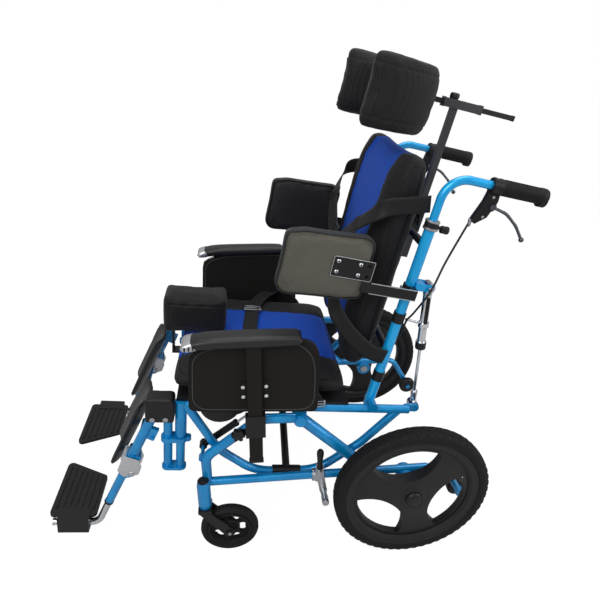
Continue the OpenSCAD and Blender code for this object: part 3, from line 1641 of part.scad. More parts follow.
module lateral_pads() {
  color(olive_cloth)
    place()
      for (side = [-1, 1]) back_plane(side * (lateral_in + lateral_t / 2))
        padded([lateral_l, lateral_h, lateral_t], lateral_across_shares, lateral_across_shares,
          function(u, v) 0, function(p) on_lateral(p));
}

// Chest harness: four straps round the cushion's sides to a chest piece between the laterals
harness_w = 38;
harness_t = 2;
harness_upper = [[203, -16, 522], [204, -60, 510], [203, -110, 494], [176, -135, 458], [120, -150, 412],
  [60, -152, 372], [22, -150, 352]];
harness_lower = [[222.5, -6, 140], [222.5, -50, 150], [216, -112, 190], [190, -155, 236], [130, -160, 282],
  [60, -155, 318], [22, -150, 338]];
harness_steps = 3;
chest_size = [56, 10, 74];
chest_at = [0, -151, 345];

module harness_strap(route) {
  run = smooth_route(route, harness_steps);
  swept(run, [for (i = [0:len(run) - 1]) [0, 0.3, 1]], strap_section(harness_w, harness_t));
}

module harness_straps() {
  color(black_cloth)
    place() back_space() {
      both_sides() {
        harness_strap(harness_upper);
        harness_strap(harness_lower);
      }
      translate(chest_at - chest_size / 2)
        cube(chest_size);
    }
}

// Legrest hanger: tube beside the post, its ring and foot plates round the post
hanger_r = 11;
hanger_top = 20;
ring_r = 17;
ring_t = 13;
ring_drop = 98;
ring_ear_at = 18;
ring_ear_r = 8;
foot_plate_t = 8;
foot_plate_drop = 188;
foot_plate_r = 15;
bush_w = 12;
bush_rises = [-66, -122];
post_lower_r = seat_r + shaft_gap;

module hanger() {
  post = -rail_ahead;
  tube = -rail_ahead - hanger_ahead;
  difference() {
    union() {
      seat_plane(leg_x)
        bar_between([tube, -foot_plate_drop], [tube, hanger_top], hanger_r);
      seat_space()
        for (part = [[-ring_drop, ring_t, ring_r], [-foot_plate_drop, foot_plate_t, foot_plate_r]])
          translate([seat_x, post, part[0]]) {
            cylinder(h = part[1], r = part[2]);
            translate([0, -hanger_ahead, 0])
              cylinder(h = part[1], r = part[2] - seat_gap);
            translate([-foot_plate_r + seat_gap, -hanger_ahead, 0])
              cube([2 * (foot_plate_r - seat_gap), hanger_ahead, part[1]]);
          }
      seat_space()
        translate([seat_x, post + ring_ear_at, -ring_drop])
          cylinder(h = ring_t, r = ring_ear_r);
    }
    seat_space()
      translate([seat_x, post, -2 * post_drop])
        cylinder(h = 2 * post_drop - post_upper - face_gap, r = post_lower_r);
    seat_space()
      translate([seat_x, post, -post_upper - face_gap - over])
        cylinder(h = 2 * post_upper, r = post_r + face_gap);
  }
}

module hanger_left() on_left(blue_paint) hanger();
module hanger_right() on_right(blue_paint) hanger();

// Knee cap over the hanger's top, slotted for the leg tube, with its two cross bolts
cap_half = 21.5;
cap_front = 371;
cap_rear = 304.8;
cap_foot = 31;
cap_top = 34;
cap_round = 9;
cap_slot_half = 13.2;
cap_slot_front = 5;
cap_slot_rear = 340;
cap_slot_top = 7;
knee_pin_r = 4;
knee_head_r = 6;
knee_head_t = 2;
cap_bolt_at = [-323.5, -20.5];

module knee_cap() {
  difference() {
    seat_plane(leg_x)
      translate([0, 0, -cap_half])
        linear_extrude(height = 2 * cap_half)
          hull() {
            for (y = [-cap_front + cap_round, -cap_rear - cap_round])
              translate([y, cap_top - cap_round])
                circle(r = cap_round, $fn = hull_fn);
            for (y = [-cap_front + seat_gap, -cap_rear - seat_gap])
              translate([y, -cap_foot + seat_gap])
                circle(r = seat_gap, $fn = 8);
          }
    seat_space()
      box_between([leg_x - cap_slot_half, -cap_front - over, -cap_foot - over],
        [leg_x + cap_slot_half, -cap_slot_rear, -cap_slot_top]);
    seat_plane(leg_x)
      bar_between([-rail_ahead - hanger_ahead, -post_drop], [-rail_ahead - hanger_ahead, hanger_top + seat_gap],
        hanger_r + seat_gap);
  }
  seat_plane(leg_x) {
    across(knee_on_seat, knee_pin_r, -cap_half - knee_head_t, cap_half + knee_head_t);
    for (p = [knee_on_seat, cap_bolt_at]) {
      across(p, knee_head_r, cap_half, cap_half + knee_head_t);
      across(p, knee_head_r, -cap_half - knee_head_t, -cap_half);
    }
  }
}

module knee_cap_left() on_left(black_part) knee_cap();
module knee_cap_right() on_right(black_part) knee_cap();

// Leg tube: eye in the knee cap, upper tube, joint plates and bolt, lower tube bored for the foot tube
leg_r = leg_tube_d / 2;
leg_eye_r = 11.5;
leg_eye_half = 12.8;
leg_tube_from = 2;
leg_tube_to = 138;
lower_leg_r = 11;
lower_leg_to = 312;
foot_bore_from = 210;
foot_fit = 0.1;
joint_plate_shares = [[-0.5, 0.1], [0.62, 0], [1, 0.35], [0.72, 0.86], [0.1, 1], [-0.5, 0.92]];
joint_plate_size = [26, 82];
joint_from = 128;
joint_plate_out = 12.7;
joint_plate_t = 3;
joint_bolt_at = [16, -184];
joint_bolt_r = 7;
lug_from = 40;
lug_h = 34;
lug_out = 30;
lug_half = 6;
lug_pin_at = [24, -66];
calf_bar_at = 92;
calf_bar_r = 6;
calf_bar_l = 68;

module leg_tube() {
  foot_tube_r = foot_tube_d / 2;
  leg_plane(leg_x)
    difference() {
      union() {
        across([0, 0], leg_eye_r, -leg_eye_half, leg_eye_half);
        bar_between([0, -leg_tube_from], [0, -leg_tube_to], leg_r);
        bar_between([0, -leg_tube_to], [0, -lower_leg_to], lower_leg_r);
        for (z = [-joint_plate_out - joint_plate_t, joint_plate_out])
          translate([0, -joint_from, z])
            linear_extrude(height = joint_plate_t)
              polygon([for (s = joint_plate_shares) [s.x * joint_plate_size.x, -s.y * joint_plate_size.y]]);
        across(joint_bolt_at, joint_bolt_r, -joint_plate_out - 2 * joint_plate_t,
          joint_plate_out + 2 * joint_plate_t);
        box_between([-leg_r, -joint_from - joint_plate_size.y / 2, -joint_plate_out],
          [leg_r, -joint_from - joint_plate_size.y / 4, joint_plate_out]);
        box_between([0, -lug_from - lug_h, -lug_half], [lug_out, -lug_from, lug_half]);
        across(lug_pin_at, knee_pin_r, -2 * lug_half, 2 * lug_half);
        for (y = [-calf_bar_at, -2 * calf_bar_at])
          across([0, y], calf_bar_r, -leg_r - calf_bar_l, 0);
      }
      across([0, 0], knee_pin_r + shaft_gap, -leg_eye_half - over, leg_eye_half + over);
      bar_between([0, -foot_bore_from], [0, -lower_leg_to - over], foot_tube_r + foot_fit);
    }
}

module leg_tube_left() on_left(blue_paint) leg_tube();
module leg_tube_right() on_right(blue_paint) leg_tube();

// Calf pads: curved shells on two bars from each leg tube
calf_w = 130;
calf_t = 18;
calf_in = 80;
calf_top = 2;
calf_curl = 22;
calf_face = -17;
calf_across_shares = both_ways([0.35, 0.65, 0.88, 0.97, 1]);
function on_calf(p) = let (u = p.x / (calf_w / 2)) [calf_in + calf_w / 2 + p.x, calf_face - calf_curl * u * u - p.z,
  calf_top - calf_l / 2 + p.y];

module calf_pad() {
  translate([0, knee_hinge.x, knee_hinge.y])
    rotate([-leg_angle, 0, 0])
      padded([calf_w, calf_l, calf_t], calf_across_shares, lateral_across_shares, function(u, v) 0,
        function(p) on_calf(p));
}

module calf_pad_left() on_left(black_part) calf_pad();
module calf_pad_right() on_right(black_part) calf_pad();

// Foot tube: slides in the lower leg tube and bends forward to carry the footplate
foot_tube_from = 235;
foot_bend_r = 30;
bar_cap_gap = 0.4;

module foot_tube() {
  foot_front = foot_bend - foot_bar_l * [cos(foot_angle), -sin(foot_angle)];
  side_plane(leg_x)
    bent_bar([knee_hinge + foot_tube_from * leg_down, foot_bend, foot_front], foot_tube_d / 2, [foot_bend_r]);
  foot_space()
    translate([0, -foot_bar_l + bend_lap, 0])
      rotate([90, 0, 0])
        cylinder(h = bar_cap_t + bend_lap, r = bar_cap_r);
}

module foot_tube_left() on_left(steel_part) foot_tube();
module foot_tube_right() on_right(steel_part) foot_tube();

// Footplate: hinge housing round the foot bar and a ribbed plate that reaches inwards
housing_w = 42;
housing_rear = 22;
housing_front = 100;
housing_foot = 18;
housing_top = 29;
plate_t = 12;
plate_top = 30;
plate_rear = -5;
plate_corner = 12;
plate_slant = 44;
plate_ribs = 7;
rib_w = 4;
rib_t = 3;

module plate_outline() {
  near = housing_w / 2 - plate_corner;
  hull() {
    for (p = [[near, -plate_rear], [near, plate_l - 2 * plate_corner - plate_rear],
      [near + plate_w - plate_slant, -plate_rear], [near + plate_w, plate_l - 2 * plate_corner - plate_rear]])
      translate([-p.x, -p.y - plate_corner])
        circle(r = plate_corner, $fn = hull_fn);
  }
}

module footplate() {
  foot_space()
    difference() {
      union() {
        box_between([-housing_w / 2, -housing_front, -housing_foot],
          [housing_w / 2, -housing_rear, housing_top]);
        translate([0, 0, plate_top - plate_t])
          linear_extrude(height = plate_t - rib_t)
            plate_outline();
        for (k = [0:plate_ribs - 1]) {
          at = plate_corner + k * (plate_l - 2 * plate_corner) / (plate_ribs - 1);
          reach = plate_w - plate_slant + plate_slant * at / plate_l;
          box_between([-housing_w / 2 - reach + plate_corner, plate_rear - at - rib_w / 2,
            plate_top - rib_t - over], [-housing_w / 2 + over, plate_rear - at + rib_w / 2, plate_top]);
        }
      }
      translate([0, over, 0])
        rotate([90, 0, 0])
          cylinder(h = plate_l + 2 * over + foot_bar_l, r = foot_tube_d / 2 + shaft_gap);
      box_between([-housing_w, -foot_bar_l - 2 * bar_cap_t, -housing_foot],
        [housing_w, -housing_front - over / 2, bar_cap_r + over]);
    }
}

module footplate_left() on_left(black_part) footplate();
module footplate_right() on_right(black_part) footplate();

base_frame_left();
base_frame_right();
rear_axles();
wheel_lock_clamps();
anti_tip_arms();
rear_wheel_left();
rear_wheel_right();
rear_tyre_left();
rear_tyre_right();
caster_fork_left();
caster_fork_right();
caster_wheel_left();
caster_wheel_right();
wheel_lock_left();
wheel_lock_right();
anti_tip_wheels();
tilt_cylinders();
tilt_rods();
seat_frame_left();
seat_frame_right();
cross_brace();
seat_cushion();
armrest_sockets();
lap_belt();
back_tubes();
back_crossbars();
back_cushion();
back_collars();
harness_straps();
brake_cables();
recline_cylinders();
recline_rods();
push_handle_left();
push_handle_right();
handle_grip_left();
handle_grip_right();
brake_lever_left();
brake_lever_right();
headrest_post();
headrest_arm();
headrest_pad();
lateral_brackets();
lateral_pads();
armrest_left();
armrest_right();
arm_pad_left();
arm_pad_right();
hanger_left();
hanger_right();
knee_cap_left();
knee_cap_right();
leg_tube_left();
leg_tube_right();
calf_pad_left();
calf_pad_right();
foot_tube_left();
foot_tube_right();
footplate_left();
footplate_right();
pommel();
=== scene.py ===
"""Looks of a tilt in space wheelchair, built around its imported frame.

Lengths in the lists below are millimetres in the frame of the part they belong to.
"""
from math import atan2, cos, exp, pi, radians, sin

import bmesh
import bpy
from mathutils import Matrix, Vector


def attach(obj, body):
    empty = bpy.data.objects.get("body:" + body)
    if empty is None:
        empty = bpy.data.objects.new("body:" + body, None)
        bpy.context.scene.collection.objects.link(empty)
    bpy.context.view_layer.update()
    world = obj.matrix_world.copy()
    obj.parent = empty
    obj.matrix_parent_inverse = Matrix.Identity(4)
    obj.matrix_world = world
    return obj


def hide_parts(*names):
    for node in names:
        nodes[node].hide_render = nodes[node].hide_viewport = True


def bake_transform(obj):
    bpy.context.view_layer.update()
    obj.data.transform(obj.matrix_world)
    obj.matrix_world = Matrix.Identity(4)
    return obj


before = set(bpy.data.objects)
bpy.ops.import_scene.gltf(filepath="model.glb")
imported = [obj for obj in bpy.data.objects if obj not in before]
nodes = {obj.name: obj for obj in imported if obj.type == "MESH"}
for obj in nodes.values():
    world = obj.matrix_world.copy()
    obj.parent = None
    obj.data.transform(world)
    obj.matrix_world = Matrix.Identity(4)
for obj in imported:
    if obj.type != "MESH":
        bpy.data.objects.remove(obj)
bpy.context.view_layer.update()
scene = bpy.context.scene
MM = 0.001
SIDES = {"left": 1, "right": -1}
ACROSS, ALONG, UP = (1, 0, 0), (0, 1, 0), (0, 0, 1)

# The part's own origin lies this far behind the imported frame's, in metres
SHIFT = 0.340994


def part_frame(y, z, lean=0.0):
    """Matrix from a leaning part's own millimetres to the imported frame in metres."""
    place = Matrix.Translation((0, y * MM + SHIFT, z * MM))
    return place @ Matrix.Rotation(radians(-lean), 4, "X") @ Matrix.Scale(MM, 4)


# Each part's frame lies on the pin that it turns about, leaning by degrees
BASE = part_frame(0, 0)
SEAT = part_frame(-285, 413, 5.4)
BACK = part_frame(-99.8968, 415.994, 12.2)
LEG = part_frame(-639.95, 424.957, 27.2)

# Sizes and places that finishes and pieces share, in millimetres
PANEL_HALF = 118
LATERAL_MIDDLE = 221.5
BINDING_WIDTH = 25
STRAP_WIDTH = 38
TUBE_X = 207


# Camera at the photograph's angle

CAMERA_AT = (1.257, -0.409 + SHIFT, 1.240)
CAMERA_YAW, CAMERA_PITCH, CAMERA_ROLL = 0.117, 0.465, 0.021
LENS, SENSOR = 31.02, 36


def add_camera():
    yaw, pitch, roll = CAMERA_YAW, CAMERA_PITCH, CAMERA_ROLL
    ahead = Vector((-cos(yaw) * cos(pitch), sin(yaw) * cos(pitch), -sin(pitch)))
    level = ahead.cross(Vector(UP)).normalized()
    upright = level.cross(ahead)
    right = cos(roll) * level + sin(roll) * upright
    up = -sin(roll) * level + cos(roll) * upright
    data = bpy.data.cameras.new("photo_camera")
    data.lens = LENS
    data.sensor_width = SENSOR
    camera = bpy.data.objects.new("photo_camera", data)
    turn = Matrix((right, up, -ahead)).transposed().to_4x4()
    camera.matrix_world = Matrix.Translation(CAMERA_AT) @ turn
    scene.collection.objects.link(camera)
    scene.camera = camera


add_camera()


# Shader maths

class Value:
    """One output of a material, with arithmetic that adds its own nodes."""

    def __init__(self, finish, socket):
        self.finish = finish
        self.socket = socket

    def math(self, operation, *others):
        links = dict(enumerate([self, *others]))
        return self.finish.node("ShaderNodeMath", {"operation": operation}, links)

    def __add__(self, other):
        return self.math("ADD", other)

    __radd__ = __add__

    def __sub__(self, other):
        return self.math("SUBTRACT", other)

    def __rsub__(self, other):
        return self.finish.number(other).math("SUBTRACT", self)

    def __mul__(self, other):
        return self.math("MULTIPLY", other)

    __rmul__ = __mul__

    def __abs__(self):
        return self.math("ABSOLUTE")

    def wave(self, pitch):
        """Sine of this value with one wave every pitch."""
        return (self * (2 * pi / pitch)).math("SINE")

    def step(self, low, high):
        """0 below low and 1 above high, eased between them."""
        limits = {0: self, 1: low, 2: high, 3: 0.0, 4: 1.0}
        return self.finish.node("ShaderNodeMapRange", {"interpolation_type": "SMOOTHSTEP"}, limits)


class Finish:
    """A surface material and the values worked out in it."""

    def __init__(self, name, **surface):
        self.material = bpy.data.materials.new(name)
        self.material.use_nodes = True
        self.tree = self.material.node_tree
        self.shader = self.tree.nodes["Principled BSDF"]
        for socket, value in surface.items():
            self.shader.inputs[socket.replace("_", " ")].default_value = value

    def put(self, socket, value):
        if isinstance(value, Value):
            self.tree.links.new(value.socket, socket)
        elif isinstance(value, tuple) and socket.type == "RGBA":
            socket.default_value = (*value, 1.0)
        else:
            socket.default_value = value

    def node(self, kind, settings=None, links=None, out=0):
        made = self.tree.nodes.new(kind)
        for key, value in (settings or {}).items():
            if key == "stops":
                ramp = made.color_ramp
                while len(ramp.elements) < len(value):
                    ramp.elements.new(0.5)
                for element, (at, colour) in zip(ramp.elements, value):
                    element.position = at
                    element.color = (*colour, 1.0)
            else:
                setattr(made, key, value)
        for key, value in (links or {}).items():
            self.put(made.inputs[key], value)
        return Value(self, made.outputs[out])

    def number(self, value):
        return self.node("ShaderNodeMath", {"operation": "ADD"}, {0: float(value), 1: 0.0})

    def place(self, scale=(1, 1, 1)):
        """Object coordinates in millimetres, scaled."""
        spot = self.node("ShaderNodeTexCoord", out=3)
        size = tuple(s / MM for s in scale)
        return self.node("ShaderNodeMapping", {"vector_type": "POINT"}, {"Vector": spot, "Scale": size})

    def strap_map(self):
        """Millimetres across and along a strap, from the map that every strap has."""
        return self.node("ShaderNodeUVMap", {"uv_map": "strap"})

    def axes(self, spot):
        made = self.tree.nodes.new("ShaderNodeSeparateXYZ")
        self.put(made.inputs[0], spot)
        return [Value(self, made.outputs[k]) for k in range(3)]

    def noise(self, spot, scale, detail=2.0, rough=0.5):
        return self.node("ShaderNodeTexNoise", {}, {
            "Vector": spot, "Scale": scale, "Detail": detail, "Roughness": rough})

    def cells(self, spot, scale, randomness=1.0):
        return self.node("ShaderNodeTexVoronoi", {}, {
            "Vector": spot, "Scale": scale, "Randomness": randomness})

    def blend(self, share, first, second):
        """The first colour, and the second by a share."""
        made = self.tree.nodes.new("ShaderNodeMix")
        made.data_type = "RGBA"
        self.put(made.inputs[0], share)
        self.put(made.inputs[6], first)
        self.put(made.inputs[7], second)
        return Value(self, made.outputs[2])

    def relief(self, height, depth_mm, strength=1.0):
        bump = self.node("ShaderNodeBump", {}, {
            "Height": height, "Distance": depth_mm * MM, "Strength": strength})
        self.put(self.shader.inputs["Normal"], bump)

    def set(self, socket, value):
        self.put(self.shader.inputs[socket], value)


def tone(red, green, blue):
    """Linear colour of a display colour of 0 to 255."""
    def linear(c):
        c /= 255
        return c / 12.92 if c <= 0.04045 else ((c + 0.055) / 1.055) ** 2.4
    return linear(red), linear(green), linear(blue)


def shade(colour, factor):
    return tuple(c * factor for c in colour)


# Finishes

def metallic_lacquer(name, colour, glow):
    """Blue lacquer with fine flake, orange peel and rubbed patches; its second colour is a painted
    highlight tone, mixed in as cloudy patches and as painted glints on the flake.
    """
    paint = Finish(name, Coat_Weight=0.45, Coat_Roughness=0.07, Metallic=0.3)
    spot = paint.place()
    flake = paint.cells(spot, 1.6)
    cloud = paint.noise(spot, 0.02, 3)
    rubbed = paint.noise(spot, 0.11, 6, 0.7).step(0.62, 0.74)
    # Cloudy patches of the highlight tone: painted highlight placed at random
    base = paint.blend(cloud, shade(colour, 0.88), shade(glow, 1.05))
    # Flake specks brighter than the highlight tone: painted glints
    base = paint.blend(flake.step(0.45, 0.05) * 0.25, base, shade(glow, 1.5))
    paint.set("Base Color", paint.blend(rubbed * 0.12, base, tone(150, 190, 210)))
    paint.set("Roughness", 0.26 + 0.1 * cloud + 0.12 * rubbed)
    paint.relief(paint.noise(spot, 0.45, 1) + flake * 0.12, 0.05, 0.5)
    return paint.material


def black_moulding(name, colour, rough, grain, depth):
    """Moulded plastic or powder coat with a fine spark texture, its depth in millimetres."""
    plastic = Finish(name, Specular_IOR_Level=0.36)
    spot = plastic.place()
    spark = plastic.noise(spot, grain, 3, 0.65)
    cloud = plastic.noise(spot, 0.03, 3)
    scuff = plastic.noise(plastic.place((1, 0.2, 1)), 0.25, 5, 0.7).step(0.66, 0.8)
    base = plastic.blend(cloud, shade(colour, 0.8), shade(colour, 1.25))
    plastic.set("Base Color", plastic.blend(scuff * 0.25, base, shade(colour, 2.6)))
    plastic.set("Roughness", rough - 0.06 + 0.14 * cloud + 0.08 * scuff)
    plastic.relief(spark, depth, 0.6)
    return plastic.material


def bare_metal(name, colour, rough, streak=(0.2, 3.0, 0.2), polish=0.6):
    """Plated or brushed metal with fine streaks and a few marks."""
    metal = Finish(name, Metallic=1.0)
    spot = metal.place(streak)
    fine = metal.noise(spot, 0.8, 4, 0.6)
    cloud = metal.noise(metal.place(), 0.04, 3)
    metal.set("Base Color", metal.blend(cloud, shade(colour, 0.84), shade(colour, 1.06)))
    metal.set("Roughness", rough * (0.7 + 0.7 * fine) + 0.05 * cloud)
    metal.relief(fine, 0.03, polish)
    return metal.material


def rubber(name, colour, rough=0.62):
    """Rubber with dust in its pores and faint bloom."""
    skin = Finish(name, Specular_IOR_Level=0.22)
    spot = skin.place()
    pores = skin.noise(spot, 1.4, 3, 0.7)
    bloom = skin.noise(spot, 0.025, 4, 0.6)
    dust = skin.noise(spot, 0.5, 2).step(0.6, 0.8) * 0.2
    base = skin.blend(bloom, shade(colour, 0.75), shade(colour, 1.35))
    skin.set("Base Color", skin.blend(dust, base, shade(colour, 2.2)))
    skin.set("Roughness", rough + 0.14 * bloom - 0.06 * pores)
    skin.relief(pores, 0.15, 0.5)
    return skin.material


def open_mesh(finish, spot, colour, pitch=4.4):
    """Spacer mesh: rows of round holes in a springy knit, the holes painted dark as shade and the knit
    flecked with painted glints. Gives colour, roughness and height.
    """
    hole = finish.cells(spot, 1.0 / pitch, 0.12)
    wall = hole.step(0.22, 0.5)
    fuzz = finish.noise(spot, 0.6, 3)
    # Light flecks in the knit are painted glints
    knit = finish.blend(fuzz, shade(colour, 0.9), shade(colour, 2.6))
    # The holes are painted near black as shade inside them
    base = finish.blend(wall, shade(colour, 0.2), knit)
    return base, 0.58 + 0.2 * fuzz - 0.08 * wall, wall + 0.25 * fuzz


def twill(finish, spot, colour, pitch=1.5):
    """Close weave with slanted ribs and crossing yarns. Gives colour, roughness and height."""
    x, y, z = finish.axes(spot)
    ribs = (x + y * 0.8 + z).wave(pitch)
    cross = (x - y * 0.8 - z).wave(pitch * 1.3)
    yarn = 0.5 + 0.3 * ribs + 0.2 * cross
    soft = finish.noise(spot, 0.03, 3)
    crest = finish.blend(soft, shade(colour, 0.95), shade(colour, 1.2))
    base = finish.blend(yarn, shade(colour, 0.72), crest)
    return base, 0.72 + 0.1 * soft, yarn


MESH_BLACK = tone(19, 19, 21)
SEAT_BLUE = tone(12, 72, 176)


def mesh_cloth(name, colour, pitch, depth):
    """Spacer mesh all over, its holes a pitch apart."""
    cloth = Finish(name, Sheen_Weight=0.08, Sheen_Roughness=0.5, Specular_IOR_Level=0.2)
    base, rough, height = open_mesh(cloth, cloth.place(), colour, pitch)
    cloth.set("Base Color", base)
    cloth.set("Roughness", rough)
    cloth.relief(height, depth, 0.8)
    return cloth.material


def woven_cloth(name, colour, pitch):
    """Twill all over, its ribs a pitch apart."""
    cloth = Finish(name, Sheen_Weight=0.06, Sheen_Roughness=0.45, Specular_IOR_Level=0.18)
    base, rough, height = twill(cloth, cloth.place(), colour, pitch)
    cloth.set("Base Color", base)
    cloth.set("Roughness", rough)
    cloth.relief(height, 0.2, 0.7)
    return cloth.material


def panelled_cloth(name, half_width):
    """Black mesh with a blue woven panel down the middle and a stitch line beside each seam."""
    cloth = Finish(name, Sheen_Weight=0.04, Sheen_Roughness=0.5, Specular_IOR_Level=0.2)
    spot = cloth.place()
    x, y, z = cloth.axes(spot)
    edge = abs(x)
    blue = edge.step(half_width + 0.8, half_width - 0.8)
    seam = abs(edge - half_width).step(2.4, 0.4)
    run = y * 0.97 + z * 0.9
    stitch = abs(edge - half_width - 5.0).step(0.9, 0.3) * run.wave(5.0).step(-0.2, 0.3)
    mesh_base, mesh_rough, mesh_height = open_mesh(cloth, spot, MESH_BLACK)
    blue_base, blue_rough, blue_height = twill(cloth, spot, SEAT_BLUE)
    base = cloth.blend(blue, mesh_base, blue_base)
    base = cloth.blend(seam * 0.75, base, shade(MESH_BLACK, 0.3))
    cloth.set("Base Color", cloth.blend(stitch * 0.7, base, tone(70, 72, 78)))
    cloth.set("Roughness", mesh_rough * (1 - blue) + blue_rough * blue)
    cloth.relief(mesh_height * (1 - blue) + 0.5 * blue_height * blue + stitch * 0.6, 0.5, 0.8)
    return cloth.material


def two_faced_cloth(name, outer, middle):
    """Knotted cloth on the side away from the occupant and black mesh on the near one."""
    cloth = Finish(name, Sheen_Weight=0.08, Sheen_Roughness=0.5, Specular_IOR_Level=0.3)
    spot = cloth.place()
    x, _, _ = cloth.axes(spot)
    far = abs(x).step(middle - 1, middle + 1)
    black_base, black_rough, black_height = open_mesh(cloth, spot, MESH_BLACK)
    grey_base, grey_rough, grey_height = twill(cloth, spot, outer, 4.0)
    knots = cloth.cells(spot, 0.3, 0.3).step(0.35, 0.1)
    grey_base = cloth.blend(knots * 0.45, grey_base, shade(outer, 1.9))
    cloth.set("Base Color", cloth.blend(far, black_base, grey_base))
    cloth.set("Roughness", black_rough * (1 - far) + grey_rough * far)
    cloth.relief(black_height * (1 - far) + (0.4 * grey_height + knots) * far, 0.4, 0.7)
    return cloth.material


def webbing(name, colour, half_width):
    """Woven strap with ribs across it and a raised selvedge on both edges."""
    strap = Finish(name, Sheen_Weight=0.04, Sheen_Roughness=0.4, Specular_IOR_Level=0.25)
    across, along, _ = strap.axes(strap.strap_map())
    ribs = along.wave(2.6)
    yarns = across.wave(3.1)
    selvedge = abs(across).step(half_width - 3.5, half_width - 2.0)
    stitch_line = abs(abs(across) - (half_width - 5.5)).step(0.9, 0.3)
    stitch = stitch_line * along.wave(5.2).step(-0.1, 0.3)
    weave = 0.5 + 0.3 * ribs + 0.2 * yarns
    base = strap.blend(weave, shade(colour, 0.6), shade(colour, 1.3))
    base = strap.blend(stitch * 0.6, base, shade(colour, 2.4))
    strap.set("Base Color", strap.blend(selvedge * 0.4, base, shade(colour, 1.7)))
    strap.set("Roughness", 0.52 + 0.12 * weave)
    strap.relief(weave + selvedge * 0.5 + stitch * 0.4, 0.3, 0.7)
    return strap.material


def padded_vinyl(name, colour, rough):
    """Soft vinyl skin with a fine leather grain."""
    skin = Finish(name, Specular_IOR_Level=0.5)
    spot = skin.place()
    pebble = skin.cells(spot, 0.55)
    crease = skin.noise(spot, 0.12, 5, 0.65)
    skin.set("Base Color", skin.blend(crease, shade(colour, 0.75), shade(colour, 1.3)))
    skin.set("Roughness", rough + 0.15 * crease)
    skin.relief(pebble.step(0.0, 0.6) + 0.4 * crease, 0.14, 0.5)
    return skin.material


# The second colour of each lacquer is its painted highlight tone
PAINT = metallic_lacquer("frame_lacquer", tone(0, 106, 176), tone(0, 158, 222))
# Back tubes and push handles take a lighter copy of the frame lacquer: painted light on the upper parts
LIT_PAINT = metallic_lacquer("lit_back_lacquer", tone(0, 150, 225), tone(6, 178, 240))
BLACK_PAINT = black_moulding("black_powder_coat", tone(20, 20, 22), 0.38, 1.2, 0.06)
WHEEL_PLASTIC = black_moulding("wheel_plastic", tone(22, 22, 23), 0.46, 0.8, 0.14)
PART_PLASTIC = black_moulding("black_plastic", tone(18, 18, 20), 0.4, 1.1, 0.08)
STRUT_GLOSS = black_moulding("strut_gloss", tone(14, 14, 16), 0.18, 1.4, 0.02)
TYRE_RUBBER = rubber("tyre_rubber", tone(20, 20, 21))
GRIP_RUBBER = rubber("grip_rubber", tone(24, 24, 25), 0.5)
CABLE_SKIN = black_moulding("cable_skin", tone(14, 14, 16), 0.34, 0.8, 0.03)
STEEL = bare_metal("plated_steel", tone(190, 192, 196), 0.28)
CHROME = bare_metal("chrome", tone(222, 224, 228), 0.1, polish=0.2)
LEVER_METAL = bare_metal("lever_grey", tone(96, 100, 106), 0.4)
HEAD_GREY = black_moulding("head_bar_grey", tone(60, 60, 63), 0.4, 1.3, 0.05)
HEAD_DARK = black_moulding("head_bar_dark", tone(34, 34, 37), 0.38, 1.3, 0.05)
SILVER_TRIM = bare_metal("silver_trim", tone(214, 215, 218), 0.38, polish=0.3)
FINE_MESH = mesh_cloth("fine_black_mesh", tone(17, 17, 19), 3.6, 0.45)
CUSHION_CLOTH = panelled_cloth("cushion_cover", PANEL_HALF)
LATERAL_CLOTH = two_faced_cloth("lateral_cloth", tone(88, 86, 78), LATERAL_MIDDLE)
GUARD_CLOTH = woven_cloth("guard_cloth", tone(27, 25, 23), 2.0)
PIPING = woven_cloth("grey_piping", tone(74, 74, 75), 1.2)
WEBBING = webbing("strap_webbing", tone(24, 24, 26), STRAP_WIDTH / 2)
VINYL = padded_vinyl("armrest_vinyl", tone(20, 20, 22), 0.36)
CALF_VINYL = padded_vinyl("calf_vinyl", tone(26, 27, 29), 0.26)
PIPING_BLACK = woven_cloth("black_piping", tone(14, 14, 16), 1.2)
BINDING_TAPE = webbing("binding_tape", tone(38, 39, 42), BINDING_WIDTH / 2)
PLATE_SILVER = bare_metal("satin_silver", tone(214, 216, 219), 0.4, (1, 1, 1), 0.3)
WHITE_CAP = black_moulding("screw_cap", tone(205, 205, 202), 0.4, 1.1, 0.04)


def dress(material, *names):
    """CAD nodes given a finish."""
    for name in names:
        mesh = nodes[name].data
        mesh.materials.clear()
        mesh.materials.append(material)


def pair(name):
    return [name + "_left", name + "_right"]


dress(PAINT, *pair("base_frame"), *pair("seat_frame"), *pair("hanger"), *pair("leg_tube"), "anti_tip_arms")
# The upper tubes wear the lit copy of the frame lacquer, painted light
dress(LIT_PAINT, "back_tubes", *pair("push_handle"))
dress(BLACK_PAINT, "cross_brace", *pair("caster_fork"), "back_crossbars", "lateral_brackets")
dress(WHEEL_PLASTIC, *pair("rear_wheel"), "anti_tip_wheels")
dress(TYRE_RUBBER, *pair("rear_tyre"), *pair("caster_wheel"))
dress(STEEL, "rear_axles", "wheel_lock_clamps", *pair("wheel_lock"))
dress(STRUT_GLOSS, "tilt_cylinders")
dress(CHROME, "tilt_rods", "recline_rods", "recline_cylinders", *pair("foot_tube"))
dress(PART_PLASTIC, "armrest_sockets", "back_collars", *pair("knee_cap"), *pair("footplate"))
dress(LEVER_METAL, *pair("brake_lever"))
dress(HEAD_GREY, "headrest_post")
dress(HEAD_DARK, "headrest_arm")
dress(GRIP_RUBBER, *pair("handle_grip"))
dress(CABLE_SKIN, "brake_cables")
dress(CUSHION_CLOTH, "seat_cushion", "back_cushion")
dress(FINE_MESH, "headrest_pad", "pommel")
dress(LATERAL_CLOTH, "lateral_pads")
dress(GUARD_CLOTH, *pair("armrest"))
dress(VINYL, *pair("arm_pad"))
dress(CALF_VINYL, *pair("calf_pad"))
dress(WEBBING, "harness_straps", "lap_belt")


# Ways of shaping

